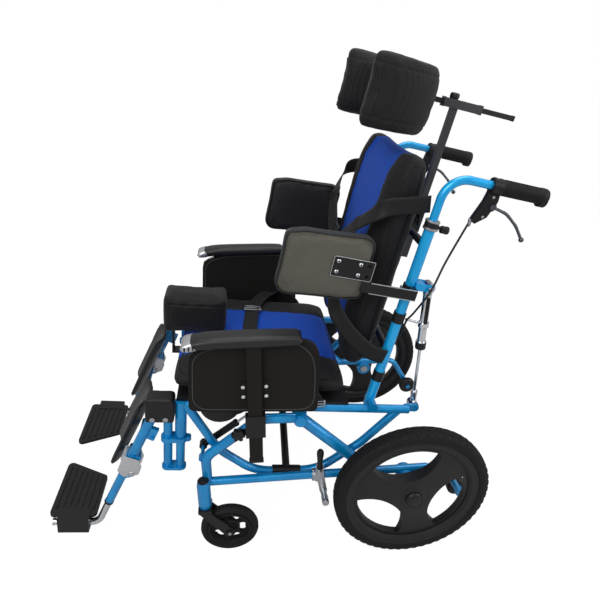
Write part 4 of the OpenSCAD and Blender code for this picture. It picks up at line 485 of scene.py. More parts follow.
def block(low, high, rounding, segments=2):
    """Box between two corners with rounded edges."""
    shape = bmesh.new()
    bmesh.ops.create_cube(shape, size=1)
    bmesh.ops.scale(shape, vec=Vector(high) - Vector(low), verts=shape.verts)
    bmesh.ops.translate(shape, vec=(Vector(high) + Vector(low)) / 2, verts=shape.verts)
    bmesh.ops.bevel(shape, geom=shape.edges[:], offset=rounding, segments=segments, profile=0.5,
                    affect="EDGES", material=-1)
    return shape


def slab(outline, x0, x1, corner, rounding):
    """Plate of an outline in y and z from x0 to x1, with its corners and edges rounded."""
    shape = bmesh.new()
    shape.faces.new([shape.verts.new((x0, y, z)) for y, z in outline])
    bmesh.ops.bevel(shape, geom=shape.verts[:], offset=corner, segments=5, profile=0.5,
                    affect="VERTICES", material=-1)
    face = max(shape.faces, key=lambda f: f.calc_area())
    made = bmesh.ops.extrude_face_region(shape, geom=[face])
    moved = [g for g in made["geom"] if isinstance(g, bmesh.types.BMVert)]
    bmesh.ops.translate(shape, vec=(x1 - x0, 0, 0), verts=moved)
    bmesh.ops.recalc_face_normals(shape, faces=shape.faces)
    rims = [e for e in shape.edges if abs(e.verts[0].co.x - e.verts[1].co.x) < 1e-4]
    bmesh.ops.bevel(shape, geom=rims, offset=rounding, segments=2, profile=0.5,
                    affect="EDGES", material=-1)
    return shape


def spun(profile, steps=40, closed=False):
    """Form turned about the z axis from points of radius and height."""
    shape = bmesh.new()
    verts = [shape.verts.new((r, 0, h)) for r, h in profile]
    edges = [shape.edges.new(ends) for ends in zip(verts, verts[1:])]
    if closed:
        edges.append(shape.edges.new((verts[-1], verts[0])))
    bmesh.ops.spin(shape, geom=verts + edges, cent=(0, 0, 0), axis=UP, angle=2 * pi,
                   steps=steps, use_merge=True)
    bmesh.ops.remove_doubles(shape, verts=shape.verts, dist=0.001)
    bmesh.ops.recalc_face_normals(shape, faces=shape.faces)
    return shape


def laid(shape, at, axis=ACROSS):
    """The shape with its z axis turned to an axis and its origin moved to a point."""
    turn = Vector(UP).rotation_difference(Vector(axis)).to_matrix().to_4x4()
    shape.transform(Matrix.Translation(at) @ turn)
    return shape


def turned(profile, at, axis=ACROSS, steps=40, closed=False):
    """Turned form with its axis laid along another axis at a point."""
    return laid(spun(profile, steps, closed), at, axis)


def lying(shape, at, across, along):
    """The shape with its x and y axes turned to two directions, at a point."""
    x = Vector(across).normalized()
    y = (Vector(along) - x * x.dot(Vector(along))).normalized()
    turn = Matrix((x, y, x.cross(y))).transposed().to_4x4()
    shape.transform(Matrix.Translation(at) @ turn)
    return shape


def rod(start, end, radius, rounding=0.6, steps=32):
    """Round bar between two points with rounded ends."""
    run = Vector(end) - Vector(start)
    long, r = run.length, min(rounding, radius * 0.9)
    edge = [(radius - r * (1 - sin(k * pi / 6)), r * (1 - cos(k * pi / 6))) for k in range(4)]
    profile = [(0, 0), *edge, *[(a, long - b) for a, b in reversed(edge)], (0, long)]
    return laid(spun(profile, steps), start, run)


def joined(*shapes):
    """One shape of several."""
    whole = shapes[0]
    for other in shapes[1:]:
        mesh = bpy.data.meshes.new("part")
        other.to_mesh(mesh)
        other.free()
        whole.from_mesh(mesh)
        bpy.data.meshes.remove(mesh)
    return whole


def nut_and_end(at, out, nut, end):
    """Six-sided nut and its bolt's end, each given as start, finish, radius and rounding along x."""
    def bar(start, finish, radius, rounding, steps):
        places = [Vector(at) + Vector((reach * out, 0, 0)) for reach in (start, finish)]
        return rod(*places, radius, rounding, steps)
    return joined(bar(*nut, 6), bar(*end, 32))


def smooth_route(points, steps):
    """Smooth curve through points, with a number of steps between each pair."""
    p = [Vector(q) for q in points]
    route = []
    for i in range(len(p) - 1):
        a, b, c, d = p[max(i - 1, 0)], p[i], p[i + 1], p[min(i + 2, len(p) - 1)]
        for s in range(steps):
            t = s / steps
            route.append(0.5 * (2 * b + (c - a) * t + (2 * a - 5 * b + 4 * c - d) * t ** 2
                                + (3 * b - a - 3 * c + d) * t ** 3))
    return route + [p[-1]]


def rounded_loop(points, radius, steps=6):
    """Closed outline in y and z with its corners rounded."""
    p = [Vector((0, *q)) for q in points]
    loop = []
    for i, corner in enumerate(p):
        back, on = p[i - 1] - corner, p[(i + 1) % len(p)] - corner
        reach = min(radius, back.length * 0.45, on.length * 0.45)
        start, end = corner + back.normalized() * reach, corner + on.normalized() * reach
        loop += [(1 - t) ** 2 * start + 2 * t * (1 - t) * corner + t * t * end
                 for t in [k / steps for k in range(steps + 1)]]
    return loop


def bead(points, radius, closed=False, fineness=3):
    """Round cord or welt along points."""
    curve = bpy.data.curves.new("bead", "CURVE")
    curve.dimensions = "3D"
    curve.bevel_depth = radius
    curve.bevel_resolution = fineness
    curve.use_fill_caps = not closed
    line = curve.splines.new("POLY")
    line.points.add(len(points) - 1)
    for spot, p in zip(line.points, points):
        spot.co = (*p, 1)
    line.use_cyclic_u = closed
    holder = bpy.data.objects.new("bead", curve)
    mesh = bpy.data.meshes.new_from_object(holder)
    shape = bmesh.new()
    shape.from_mesh(mesh)
    bmesh.ops.remove_doubles(shape, verts=shape.verts, dist=0.001)
    bpy.data.objects.remove(holder)
    bpy.data.curves.remove(curve)
    bpy.data.meshes.remove(mesh)
    return shape


def settle(piece):
    """The piece's modifiers made part of its mesh."""
    graph = bpy.context.evaluated_depsgraph_get()
    fresh = bpy.data.meshes.new_from_object(piece.evaluated_get(graph))
    piece.modifiers.clear()
    old = piece.data
    piece.data = fresh
    bpy.data.meshes.remove(old)


def stand(name, mesh, material, body, replaces=()):
    """A finished mesh as a piece that rides on its body."""
    piece = bpy.data.objects.new(name, mesh)
    scene.collection.objects.link(piece)
    mesh.materials.clear()
    mesh.materials.append(material)
    if body:
        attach(piece, body)
    if replaces:
        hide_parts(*replaces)
    return piece


def mesh_of(name, shape, place, side, sharp):
    """Mesh of a shape worked in a part's millimetres, mirrored for the far side."""
    shape.transform(place)
    if side < 0:
        shape.transform(Matrix.Scale(-1, 4, ACROSS))
        bmesh.ops.reverse_faces(shape, faces=shape.faces)
    mesh = bpy.data.meshes.new(name)
    shape.to_mesh(mesh)
    shape.free()
    mesh.shade_smooth()
    mesh.set_sharp_from_angle(angle=radians(sharp))
    return mesh


def add(name, shape, material, body, place=BASE, side=1, replaces=(), sharp=35):
    """A shape as a piece, with edges over an angle in degrees kept sharp."""
    return stand(name, mesh_of(name, shape, place, side, sharp), material, body, replaces)


def solids_of(node, place):
    """The separate solids of a node as shapes in a part's millimetres, the largest first."""
    whole = bmesh.new()
    whole.from_mesh(nodes[node].data)
    bmesh.ops.remove_doubles(whole, verts=whole.verts, dist=0.00001)
    whole.transform(place.inverted())
    whole.verts.index_update()
    seen, groups = set(), []
    for start in whole.verts:
        if start.index in seen:
            continue
        seen.add(start.index)
        group, fresh = set(), [start]
        while fresh:
            v = fresh.pop()
            group.add(v.index)
            near = [e.other_vert(v) for e in v.link_edges if e.other_vert(v).index not in seen]
            seen.update(w.index for w in near)
            fresh += near
        groups.append(group)
    solids = []
    for group in groups:
        solid = whole.copy()
        bmesh.ops.delete(solid, geom=[v for v in solid.verts if v.index not in group], context="VERTS")
        solids.append(solid)
    whole.free()
    return sorted(solids, key=lambda s: -s.calc_volume())


def grown(shape, distance):
    """The shape with its surface moved outwards."""
    for v, away in [(v, v.normal.copy()) for v in shape.verts]:
        v.co += away * distance


def smoothed(piece, rounds):
    """The piece with its edges worn round by smoothing."""
    shape = bmesh.new()
    shape.from_mesh(piece.data)
    for _ in range(rounds):
        bmesh.ops.smooth_vert(shape, verts=shape.verts, factor=0.5, use_axis_x=True, use_axis_y=True,
                              use_axis_z=True)
    shape.to_mesh(piece.data)
    shape.free()
    piece.data.shade_smooth()


# Cushions and pads

CLOTH_FRAMES = 20


def swell(piece, cap, pressure):
    """The piece blown up by cloth pressure, no point further than a cap in millimetres."""
    rest = [v.co.copy() for v in piece.data.vertices]
    cloth = piece.modifiers.new("cloth", "CLOTH")
    cloth.settings.quality = 4
    cloth.settings.use_pressure = True
    cloth.settings.uniform_pressure_force = pressure
    cloth.settings.effector_weights.gravity = 0
    for step in range(1, CLOTH_FRAMES + 1):
        scene.frame_set(step)
    settle(piece)
    scene.frame_set(1)
    for v, home in zip(piece.data.vertices, rest):
        move = v.co - home
        if move.length > cap * MM:
            v.co = home + move * (cap * MM / move.length)


def swollen(name, shape, place, voxel, cap=0, pressure=4.0, growth=0.0, side=1):
    """Sewn cover of a form: grown, remeshed, swollen where it has a cap, smoothed and subdivided."""
    if growth:
        bmesh.ops.recalc_face_normals(shape, faces=shape.faces)
        shape.normal_update()
        grown(shape, growth)
    piece = bpy.data.objects.new(name, mesh_of(name, shape, place, side, 180))
    scene.collection.objects.link(piece)
    remesh = piece.modifiers.new("remesh", "REMESH")
    remesh.mode = "VOXEL"
    remesh.voxel_size = voxel * MM
    settle(piece)
    if cap:
        swell(piece, cap, pressure)
    smoothed(piece, 2)
    finer = piece.modifiers.new("finer", "SUBSURF")
    finer.levels = finer.render_levels = 1
    settle(piece)
    piece.data.shade_smooth()
    return piece


def press(piece, place, depth):
    """Sewn lines pressed into a piece: depth gives millimetres inwards at a point and its normal."""
    shape = bmesh.new()
    shape.from_mesh(piece.data)
    shape.transform(place.inverted())
    shape.normal_update()
    moves = [(v, depth(v.co, v.normal) * v.normal) for v in shape.verts]
    for v, move in moves:
        v.co -= move
    shape.transform(place)
    shape.to_mesh(piece.data)
    shape.free()
    piece.data.shade_smooth()


def cut_line(piece, place, at, facing, spacing=7.0):
    """Points, in a part's millimetres, of the loop where a plane cuts a piece."""
    shape = bmesh.new()
    shape.from_mesh(piece.data)
    shape.transform(place.inverted())
    cut = bmesh.ops.bisect_plane(shape, geom=shape.verts[:] + shape.edges[:] + shape.faces[:], dist=0.0001,
                                 plane_co=at, plane_no=facing, clear_outer=True)
    edges = dict.fromkeys(g for g in cut["geom_cut"] if isinstance(g, bmesh.types.BMEdge))
    loops = []
    while edges:
        edge, _ = edges.popitem()
        walk = list(edge.verts)
        while True:
            ahead = [e for e in walk[-1].link_edges if e in edges]
            if not ahead:
                break
            del edges[ahead[0]]
            walk.append(ahead[0].other_vert(walk[-1]))
        loops.append([v.co.copy() for v in walk])
    shape.free()
    loop = max(loops, key=len)
    kept = [loop[0]]
    for p in loop[1:]:
        if (p - kept[-1]).length > spacing:
            kept.append(p)
    if (kept[-1] - kept[0]).length < spacing / 2:
        kept.pop()
    for _ in range(2):
        kept = [(kept[i - 1] + 2 * p + kept[(i + 1) % len(kept)]) / 4 for i, p in enumerate(kept)]
    return kept


def line(value, at, width):
    """1 on a line, falling away to both sides."""
    return exp(-((value - at) / width) ** 2)


def pad(piece, material, body, replaced):
    """A swollen form given its finish and its body, in place of the part it replaces."""
    piece.data.materials.clear()
    piece.data.materials.append(material)
    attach(piece, body)
    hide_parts(replaced)


SEAT_SEAMS = 78, 46


def add_seat_cushion():
    def sewn(p, n):
        panel = line(abs(p.x), PANEL_HALF, 2.8) * (1 + 0.2 * sin(p.y / 9))
        border = sum(line(p.z, height, 2.6) for height in SEAT_SEAMS) * (1 - abs(n.z)) ** 0.5
        pucker = line(abs(p.x), PANEL_HALF, 14) * sin(p.y / 5.5)
        return 2.4 * panel + 1.8 * border + 0.5 * pucker

    form, board = solids_of("seat_cushion", SEAT)[:2]
    cushion = swollen("seat_pad", form, SEAT, voxel=7.0, cap=7.0, growth=-3.0)
    press(cushion, SEAT, sewn)
    pad(cushion, CUSHION_CLOTH, "seat", "seat_cushion")
    for height in SEAT_SEAMS:
        loop = cut_line(cushion, SEAT, (0, 0, height), UP)
        add("seat_welt_%d" % height, bead(loop, 1.5, True), PIPING_BLACK, "seat", SEAT)
    add("seat_board", board, PART_PLASTIC, "seat", SEAT)


BACK_SEAM = -48


def add_back_cushion():
    def sewn(p, n):
        panel = line(abs(p.x), PANEL_HALF, 3.2) * (1 + 0.2 * sin(p.z / 9))
        border = line(p.y, BACK_SEAM, 2.6) * (1 - abs(n.y)) ** 0.5
        pucker = line(abs(p.x), PANEL_HALF, 16) * sin(p.z / 6)
        return 3.2 * panel + 2.2 * border + 0.5 * pucker

    form = solids_of("back_cushion", BACK)[0]
    cushion = swollen("back_pad", form, BACK, voxel=7.5, cap=7.0, growth=-3.0)
    press(cushion, BACK, sewn)
    pad(cushion, CUSHION_CLOTH, "back", "back_cushion")
    loop = cut_line(cushion, BACK, (0, BACK_SEAM, 0), ALONG)
    add("back_welt", bead(loop, 1.5, True), PIPING_BLACK, "back", BACK)


HEAD_MIDDLE = 714
HEAD_SEAM, HEAD_FOLD = 52, 74
HEAD_MOVE = -7, 2
HEAD_STRETCH = 0.05
WING_START, WING_RUN = 50, 45
WING_SWEEP, WING_DEPTH = 19, 70


def add_head_pad():
    def sewn(p, n):
        border = line(abs(p.z - HEAD_MIDDLE), HEAD_SEAM, 2.2) * (1 - abs(n.z))
        return 1.8 * border + 1.4 * line(abs(p.x), HEAD_FOLD, 2.4)

    form, *fittings = solids_of("headrest_pad", BACK)
    rear = max(v.co.y for v in form.verts)
    middle = sum(v.co.z for v in form.verts) / len(form.verts)
    for v in form.verts:
        wing = min(max((abs(v.co.x) - WING_START) / WING_RUN, 0), 1)
        v.co.y += HEAD_MOVE[0] + WING_SWEEP * wing * max(0.0, 1 - (rear - v.co.y) / WING_DEPTH)
        v.co.z += HEAD_MOVE[1] + HEAD_STRETCH * (v.co.z - middle)
    cushion = swollen("head_pad", form, BACK, voxel=5.5, cap=6.0, growth=6.5)
    press(cushion, BACK, sewn)
    pad(cushion, FINE_MESH, "headrest_pad", "headrest_pad")
    add("head_plate", joined(*fittings), HEAD_DARK, "headrest_pad", BACK)


POMMEL_CORNERS = (-46, -355, 99), (46, -193, 202)
POMMEL_SEAM, POMMEL_EDGE = 184, 40


def add_pommel():
    def sewn(p, n):
        border = line(p.z, POMMEL_SEAM, 2.2) * (1 - abs(n.z)) ** 0.5
        return 1.8 * border + 1.2 * line(abs(p.x), POMMEL_EDGE, 2.2) * max(0.0, -n.y)

    form, *fittings = solids_of("pommel", SEAT)
    form.free()
    form = block(*POMMEL_CORNERS, 11, 4)
    block_pad = swollen("pommel_pad", form, SEAT, voxel=4.0, cap=5.0, pressure=2.0)
    press(block_pad, SEAT, sewn)
    pad(block_pad, FINE_MESH, "pommel", "pommel")
    loop = cut_line(block_pad, SEAT, (0, 0, POMMEL_SEAM), UP, 5)
    add("pommel_welt", bead(loop, 1.3, True), PIPING_BLACK, "pommel", SEAT)
    add("pommel_bracket", joined(*fittings), BLACK_PAINT, "pommel", SEAT)


def rounder(shape, power, growth):
    """Corners of a form drawn in, seen along x, towards a rounded square, and its outline grown."""
    middle = sum((v.co for v in shape.verts), Vector()) / len(shape.verts)
    reach = [max(abs(v.co[k] - middle[k]) for v in shape.verts) for k in range(3)]
    for v in shape.verts:
        y, z = (v.co.y - middle.y) / reach[1], (v.co.z - middle.z) / reach[2]
        far = (abs(y) ** power + abs(z) ** power) ** (1 / power)
        most = max(abs(y), abs(z))
        if far > 0:
            v.co.y = middle.y + (v.co.y - middle.y) * growth * most / far
            v.co.z = middle.z + (v.co.z - middle.z) * growth * most / far


LATERAL_SEAM = 11.5


def add_lateral_pads():
    def sewn(p, n):
        return line(abs(abs(p.x) - LATERAL_MIDDLE), LATERAL_SEAM, 1.8)

    forms = {}
    for solid in solids_of("lateral_pads", BACK)[:2]:
        forms[1 if sum(v.co.x for v in solid.verts) > 0 else -1] = solid
    for label, side in SIDES.items():
        rounder(forms[side], 7, 1.08)
        bolster = swollen("side_pad_" + label, forms[side], BACK, voxel=4.5, cap=5.0, growth=-3.6)
        press(bolster, BACK, sewn)
        pad(bolster, LATERAL_CLOTH, "back", "lateral_pads")
        loop = cut_line(bolster, BACK, (side * LATERAL_MIDDLE, 0, 0), ACROSS, 6)
        middle = sum(loop, Vector()) / len(loop)
        add_ribbon("side_binding_" + label, loop + [loop[0]], ACROSS, BINDING_WIDTH, 1.6, BINDING_TAPE,
                   "back", BACK, outwards=middle)


ARM_X, ARM_Y = 272, -419
ARM_LENGTH, ARM_HALF_WIDTH = 268, 19
ARM_FLANK, ARM_TOP, ARM_DROP = 300.6, 652.5, 26
TIP_CUT, TIP_FACING, TIP_GROWTH = (0, -520, 640), (0, 1, 0.8), 3.4
SLOT_FIRST, SLOT_PITCH = -543, 9
SLOT_HALF = Vector((5, 1.7, 1.4))
SLOT_LEAN = 1, 0, 0.15


def arm_drop(y):
    """How far the front end of the arm pad is swept down."""
    return ARM_DROP * max(0.0, ((ARM_Y - y) / ARM_LENGTH - 0.2) * 2) ** 2


def add_arm_pads():
    def sewn(p, n):
        return 0.9 * line(abs(abs(p.x) - ARM_X), ARM_HALF_WIDTH, 1.6) * max(0.0, n.z)

    for label, side in SIDES.items():
        body = "armrest_" + label
        form = solids_of("arm_pad_" + label, BASE)[0]
        if side < 0:
            form.transform(Matrix.Scale(-1, 4, ACROSS))
            bmesh.ops.reverse_faces(form, faces=form.faces)
        tip = form.copy()
        moulding = swollen("arm_cushion_" + label, form, BASE, voxel=4.0, growth=2.6, side=side)
        press(moulding, BASE, sewn)
        pad(moulding, VINYL, body, "arm_pad_" + label)
        bmesh.ops.bisect_plane(tip, geom=tip.verts[:] + tip.edges[:] + tip.faces[:], dist=0.0001,
                               plane_co=TIP_CUT, plane_no=TIP_FACING, clear_outer=True)
        bmesh.ops.holes_fill(tip, edges=[e for e in tip.edges if e.is_boundary], sides=0)
        tip.normal_update()
        grown(tip, TIP_GROWTH)
        bmesh.ops.recalc_face_normals(tip, faces=tip.faces)
        add("arm_tip_" + label, tip, SILVER_TRIM, body, BASE, side)
        for k in range(3):
            y = SLOT_FIRST + SLOT_PITCH * k
            at = ARM_FLANK, y, ARM_TOP - arm_drop(y)
            slot = laid(block(-SLOT_HALF, SLOT_HALF, 0.8), at, SLOT_LEAN)
            add("arm_slot_%d_%s" % (k, label), slot, PART_PLASTIC, body, BASE, side)


CALF_X = 145


def add_calf_pads():
    for label, side in SIDES.items():
        body = "legrest_" + label
        shell = swollen("calf_shell_" + label, solids_of("calf_pad_" + label, LEG)[0], LEG, voxel=4.5)
        pad(shell, CALF_VINYL, body, "calf_pad_" + label)
        loop = cut_line(shell, LEG, (side * CALF_X, 0, 0), ACROSS, 6)
        add("calf_bead_" + label, bead(loop, 1.0, True), PIPING_BLACK, body, LEG)


# Straps, buckles and cables

HARNESS_UPPER = ((203, -16, 522), (204, -60, 510), (203, -110, 494), (176, -135, 458), (120, -150, 412),
                 (60, -152, 372), (22, -150, 352))
HARNESS_LOWER = ((222.5, -6, 140), (222.5, -50, 150), (216, -112, 190), (190, -155, 236), (130, -160, 282),
                 (60, -155, 318), (22, -150, 338))
BELT = ((247, 40, 26), (248, 20, 60), (243, -20, 92), (225, -60, 102), (170, -95, 103), (100, -115, 103),
        (0, -125, 103))
CABLE = ((207, 82.6, 502.5), (209, 75, 470), (217, 58, 400), (232, 42, 335), (231, 22, 275), (220, 16, 246),
         (209, 20, 212), (195, 19, 178), (188, 13, 136), (188, 2, 93))
STRAP_THICK = 1.8
BELT_WIDTH = 40
CABLE_RADIUS = 2.5
HARNESS_LIE = Vector((0, 0.3, 1))
BELT_LIE = Vector((0, 1, 0.1))
RIBBON_COLUMNS = 6


def add_ribbon(name, route, lie, width, thick, material, body, place, side=1, replaces=(),
               outwards=None):
    """Strap along a route, as flat as its lie, with its own map in millimetres."""
    shape = bmesh.new()
    last = len(route) - 1
    bmesh.ops.create_grid(shape, x_segments=RIBBON_COLUMNS, y_segments=last, size=1)
    along = [0.0]
    for a, b in zip(route, route[1:]):
        along.append(along[-1] + (b - a).length)
    chart = shape.loops.layers.uv.new("strap")
    for face in shape.faces:
        for loop in face.loops:
            u, v = loop.vert.co.x, loop.vert.co.y
            loop[chart].uv = (u * width / 2, along[round((v + 1) / 2 * last)])
    closed = (route[0] - route[-1]).length < 1e-6
    for vert in shape.verts:
        share, i = vert.co.x, round((vert.co.y + 1) / 2 * last)
        before = route[i - 1] if i else (route[-2] if closed else route[0])
        after = route[i + 1] if i < last else (route[1] if closed else route[last])
        ahead = (after - before).normalized()
        wide = (Vector(lie) - Vector(lie).dot(ahead) * ahead).normalized()
        spot = route[i] + wide * (share * width / 2)
        if outwards is not None:
            away = wide.cross(ahead)
            if away.dot(route[i] - outwards) < 0:
                away = -away
            spot += away * (0.6 - 2.2 * abs(share) ** 5)
        vert.co = spot
    piece = stand(name, mesh_of(name, shape, place, side, 50), material, None)
    wall = piece.modifiers.new("wall", "SOLIDIFY")
    wall.thickness = thick * MM
    wall.offset = 0
    settle(piece)
    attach(piece, body)
    if replaces:
        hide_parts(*replaces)


def glide(width, length, thick):
    """Strap adjuster: a rounded ring with a bar across it, lying in x and y."""
    x, y, z = width / 2, length / 2, thick / 2
    bars = [block((-x, at - 2, -z), (x, at + 2, z), 1.2) for at in (2 - y, 0, y - 2)]
    bars += [block((at - 2.2, -y, -z), (at + 2.2, y, z), 1.2) for at in (-x, x)]
    return joined(*bars)


CHEST_LOW, CHEST_HIGH = Vector((-27, -155.5, 310)), Vector((27, -147, 381))
CHEST_RIBS = 322, 345.5, 369
RIB_HALF = Vector((20, 1.6, 3))
RIB_Y = -155.6


def add_harness():
    for label, side in SIDES.items():
        for part, points in (("upper", HARNESS_UPPER), ("lower", HARNESS_LOWER)):
            route = smooth_route(points, 7)
            add_ribbon("harness_%s_%s" % (part, label), route, HARNESS_LIE, STRAP_WIDTH, STRAP_THICK,
                       WEBBING, "back", BACK, side, ("harness_straps",))
            spot = len(route) * 5 // 8
            ahead = (route[spot + 1] - route[spot - 1]).normalized()
            wide = HARNESS_LIE - HARNESS_LIE.dot(ahead) * ahead
            buckle = lying(glide(42, 26, 4.5), route[spot], wide, ahead)
            name = "harness_glide_%s_%s" % (part, label)
            add(name, buckle, PART_PLASTIC, "back", BACK, side)
    add("chest_plate", block(CHEST_LOW, CHEST_HIGH, 3.5, 4), PART_PLASTIC, "back", BACK)
    for k, z in enumerate(CHEST_RIBS):
        at = Vector((0, RIB_Y, z))
        rib = block(at - RIB_HALF, at + RIB_HALF, 1.3, 3)
        add("chest_rib_%d" % k, rib, PART_PLASTIC, "back", BACK)


BELT_ADJUSTER = -105, -115, 107
BELT_SHELL = (34, -141, 103.5), (90, -101, 112.5)
BELT_TONGUE = (22, -134, 104.5), (38, -108, 111)
BELT_BUTTON = (52, -129, 112), (72, -113, 113.4)
BELT_CLIP = 247.4, 36, 33


def add_lap_belt():
    half = smooth_route(BELT, 8)
    route = half + [Vector((-p.x, p.y, p.z)) for p in reversed(half[:-1])]
    add_ribbon("belt_strap", route, BELT_LIE, BELT_WIDTH, STRAP_THICK, WEBBING, "seat", SEAT,
               replaces=("lap_belt",))
    adjuster = lying(glide(46, 26, 4), BELT_ADJUSTER, ALONG, ACROSS)
    add("belt_adjuster", adjuster, STEEL, "seat", SEAT)
    shell = joined(block(*BELT_SHELL, 3.6, 4), block(*BELT_TONGUE, 2.4, 3))
    add("belt_buckle", shell, PART_PLASTIC, "seat", SEAT)
    add("belt_button", block(*BELT_BUTTON, 0.7), HEAD_GREY, "seat", SEAT)
    for label, side in SIDES.items():
        clip = lying(glide(44, 20, 3), BELT_CLIP, BELT_LIE, (0, -0.4, 1))
        add("belt_clip_" + label, clip, STEEL, "seat", SEAT, side)


def add_brake_cables():
    for label, side in SIDES.items():
        cord = bead(smooth_route(CABLE, 10), CABLE_RADIUS, fineness=4)
        cable = add("brake_cable_" + label, cord, CABLE_SKIN, None, BACK, side,
                    ("brake_cables",))
        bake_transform(cable)


# Wheels

WHEEL_AXLE = 321, 0, 203
TREAD_BLOCKS = 112
TREAD_HALF = ((174.3, 18.8), (177, 21.2), (184, 22), (192, 21.4), (197, 18.4), (199.6, 15.2), (200.4, 9.4),
              (200.7, 8.2), (200.9, 2.6), (202.8, 1.9))
RIM_LINE = (172.2, 18.2), (173.6, 19.6), (174.9, 18.6), (174.6, 17.4)
HUB_CAP = (0, 34.4), (8, 34.4), (15, 33.4), (19, 31.2), (21, 27.6), (21.6, 22), (0, 21.8)
HUB_RING = (24.2, 24.6), (30, 22.4), (37, 19.6), (38.4, 18.4), (37, 18.2), (24.2, 20)


def tread_band(tyre, low, high, lag):
    """Every other face between two heights, one step late on the side that lag points to."""
    band = []
    for face in tyre.faces:
        spot = face.calc_center_median()
        turn = round(atan2(spot.y, spot.x) / (2 * pi) * TREAD_BLOCKS - 0.5)
        if low < abs(spot.z) < high and (turn + (spot.z * lag > 0)) % 2 == 0:
            band.append(face)
    return band


def add_tyres():
    profile = [*TREAD_HALF, *[(r, -h) for r, h in reversed(TREAD_HALF)]]
    for label, side in SIDES.items():
        body = "rear_wheel_" + label
        tyre = spun(profile, TREAD_BLOCKS, closed=True)
        crown, shoulder = tread_band(tyre, 3, 8, 1), tread_band(tyre, 9.6, 15, -1)
        edge = tread_band(tyre, 15.4, 18.2, 0)
        for band, depth in ((crown, 1.7), (shoulder, 1.6), (edge, 1.2)):
            bmesh.ops.inset_individual(tyre, faces=band, thickness=0.7, depth=depth)
        add("tread_" + label, laid(tyre, WHEEL_AXLE), TYRE_RUBBER, body, BASE, side,
            ("rear_tyre_" + label,), 28)
        rim = turned(RIM_LINE, WHEEL_AXLE, steps=TREAD_BLOCKS, closed=True)
        add("rim_line_" + label, rim, WHEEL_PLASTIC, body, BASE, side)
        cap = turned(HUB_CAP, WHEEL_AXLE)
        add("hub_cap_" + label, cap, PART_PLASTIC, body, BASE, side)
        ring = turned(HUB_RING, WHEEL_AXLE, steps=56, closed=True)
        add("hub_ring_" + label, ring, WHEEL_PLASTIC, body, BASE, side)


CASTER_AXLE = 280, -470, 76
CASTER_STEM = 280, -530, 0
FORK_HALF = 22.6
FORK_NUT, FORK_BOLT_END = (-1.6, 2.2, 8.2, 1.2), (2, 4.4, 4.2, 1.0)
CASTER_RING = (21, 5.1), (22.5, 6.2), (24.5, 6.2), (26, 5.1), (24, 4.5)
CASTER_TREAD = (75.2, 2.4), (75.9, 1.6), (75.9, -1.6), (75.2, -2.4), (74.6, 0)
BARREL_CAP = (0, 249.2), (7, 249), (13.6, 247.4), (14.8, 245.2), (0, 245)


def add_caster_details():
    x, y, z = CASTER_AXLE
    for label, side in SIDES.items():
        wheel = "caster_wheel_" + label
        for k, face in enumerate((1, -1)):
            ring = [(r, face * h) for r, h in CASTER_RING]
            trim = turned(ring, CASTER_AXLE, steps=48, closed=True)
            add("caster_ring_%d_%s" % (k, label), trim, WHEEL_PLASTIC, wheel, BASE, side)
        tread = turned(CASTER_TREAD, CASTER_AXLE, steps=72, closed=True)
        add("caster_tread_" + label, tread, TYRE_RUBBER, wheel, BASE, side)
        for k, out in enumerate((1, -1)):
            bolt = nut_and_end((x + out * FORK_HALF, y, z), out, FORK_NUT, FORK_BOLT_END)
            name = "caster_bolt_%d_%s" % (k, label)
            add(name, bolt, STEEL, "caster_fork_" + label, BASE, side)
        cap = turned(BARREL_CAP, CASTER_STEM, UP)
        add("barrel_cap_" + label, cap, PART_PLASTIC, "base", BASE, side)


# Handles, collars and wheel locks

GRIP_AXIS = TUBE_X, 0, 589
GRIP_START, RIBS_START, RIBS_END, RIB_PITCH = 126, 128, 210, 4.1
GRIP_END = (17.2, 211), (18.3, 215), (18.6, 222), (18.2, 229), (16.4, 232.4), (12, 233.6), (0, 234)
BRAKE_CLAMP = ((17.1, 101), (18, 102), (18, 106), (17.1, 107), (17.1, 115), (18, 116), (18, 121),
               (17.1, 122))
BRAKE_SCREWS = (112, 566), (104, 520)
BRAKE_FLANK = 213.4


def grip_profile():
    """Ribs along the grip between its plain start and its bulged end."""
    profile = [(0, GRIP_START - 0.5), (16.6, GRIP_START)]
    y = RIBS_START
    while y < RIBS_END:
        profile += [(16.8, y), (17.75, y + 0.5), (17.75, y + 2.2), (16.8, y + 2.7)]
        y += RIB_PITCH
    return [*profile, *GRIP_END]


def add_grips():
    for label, side in SIDES.items():
        body = "push_handle_" + label
        grip = turned(grip_profile(), GRIP_AXIS, ALONG)
        add("grip_ribs_" + label, grip, GRIP_RUBBER, body, BACK, side, (), 50)
        collar = turned(BRAKE_CLAMP, GRIP_AXIS, ALONG)
        add("brake_clamp_" + label, collar, PART_PLASTIC, body, BACK, side)
        for k, (y, z) in enumerate(BRAKE_SCREWS):
            screw = rod((BRAKE_FLANK, y, z), (BRAKE_FLANK + 1.8, y, z), 3.2, 0.8)
            add("brake_screw_%d_%s" % (k, label), screw, STEEL, body, BACK, side)
        barrel = joined(rod((TUBE_X, 84, 497), (TUBE_X, 82, 510), 4.2, 0.8),
                        rod((TUBE_X, 84.4, 492), (TUBE_X, 84, 498), 3.2, 0.6))
        add("cable_barrel_" + label, barrel, STEEL, body, BACK, side)


COLLAR_RING = (16.1, 468.4), (17.1, 469), (17.1, 473.4), (16.1, 474)
COLLAR_RIM = (15.9, 485.4), (16.8, 486), (16.8, 489.4), (15.4, 490.4), (10, 490.5)
KNOB_Z = 473
COLLAR_KNOB = ((0, 42.4), (5.2, 42.6), (8.6, 41), (9.2, 38), (8.4, 33), (8.9, 28), (8, 24.2), (4.4, 23.6),
               (0, 23.6))


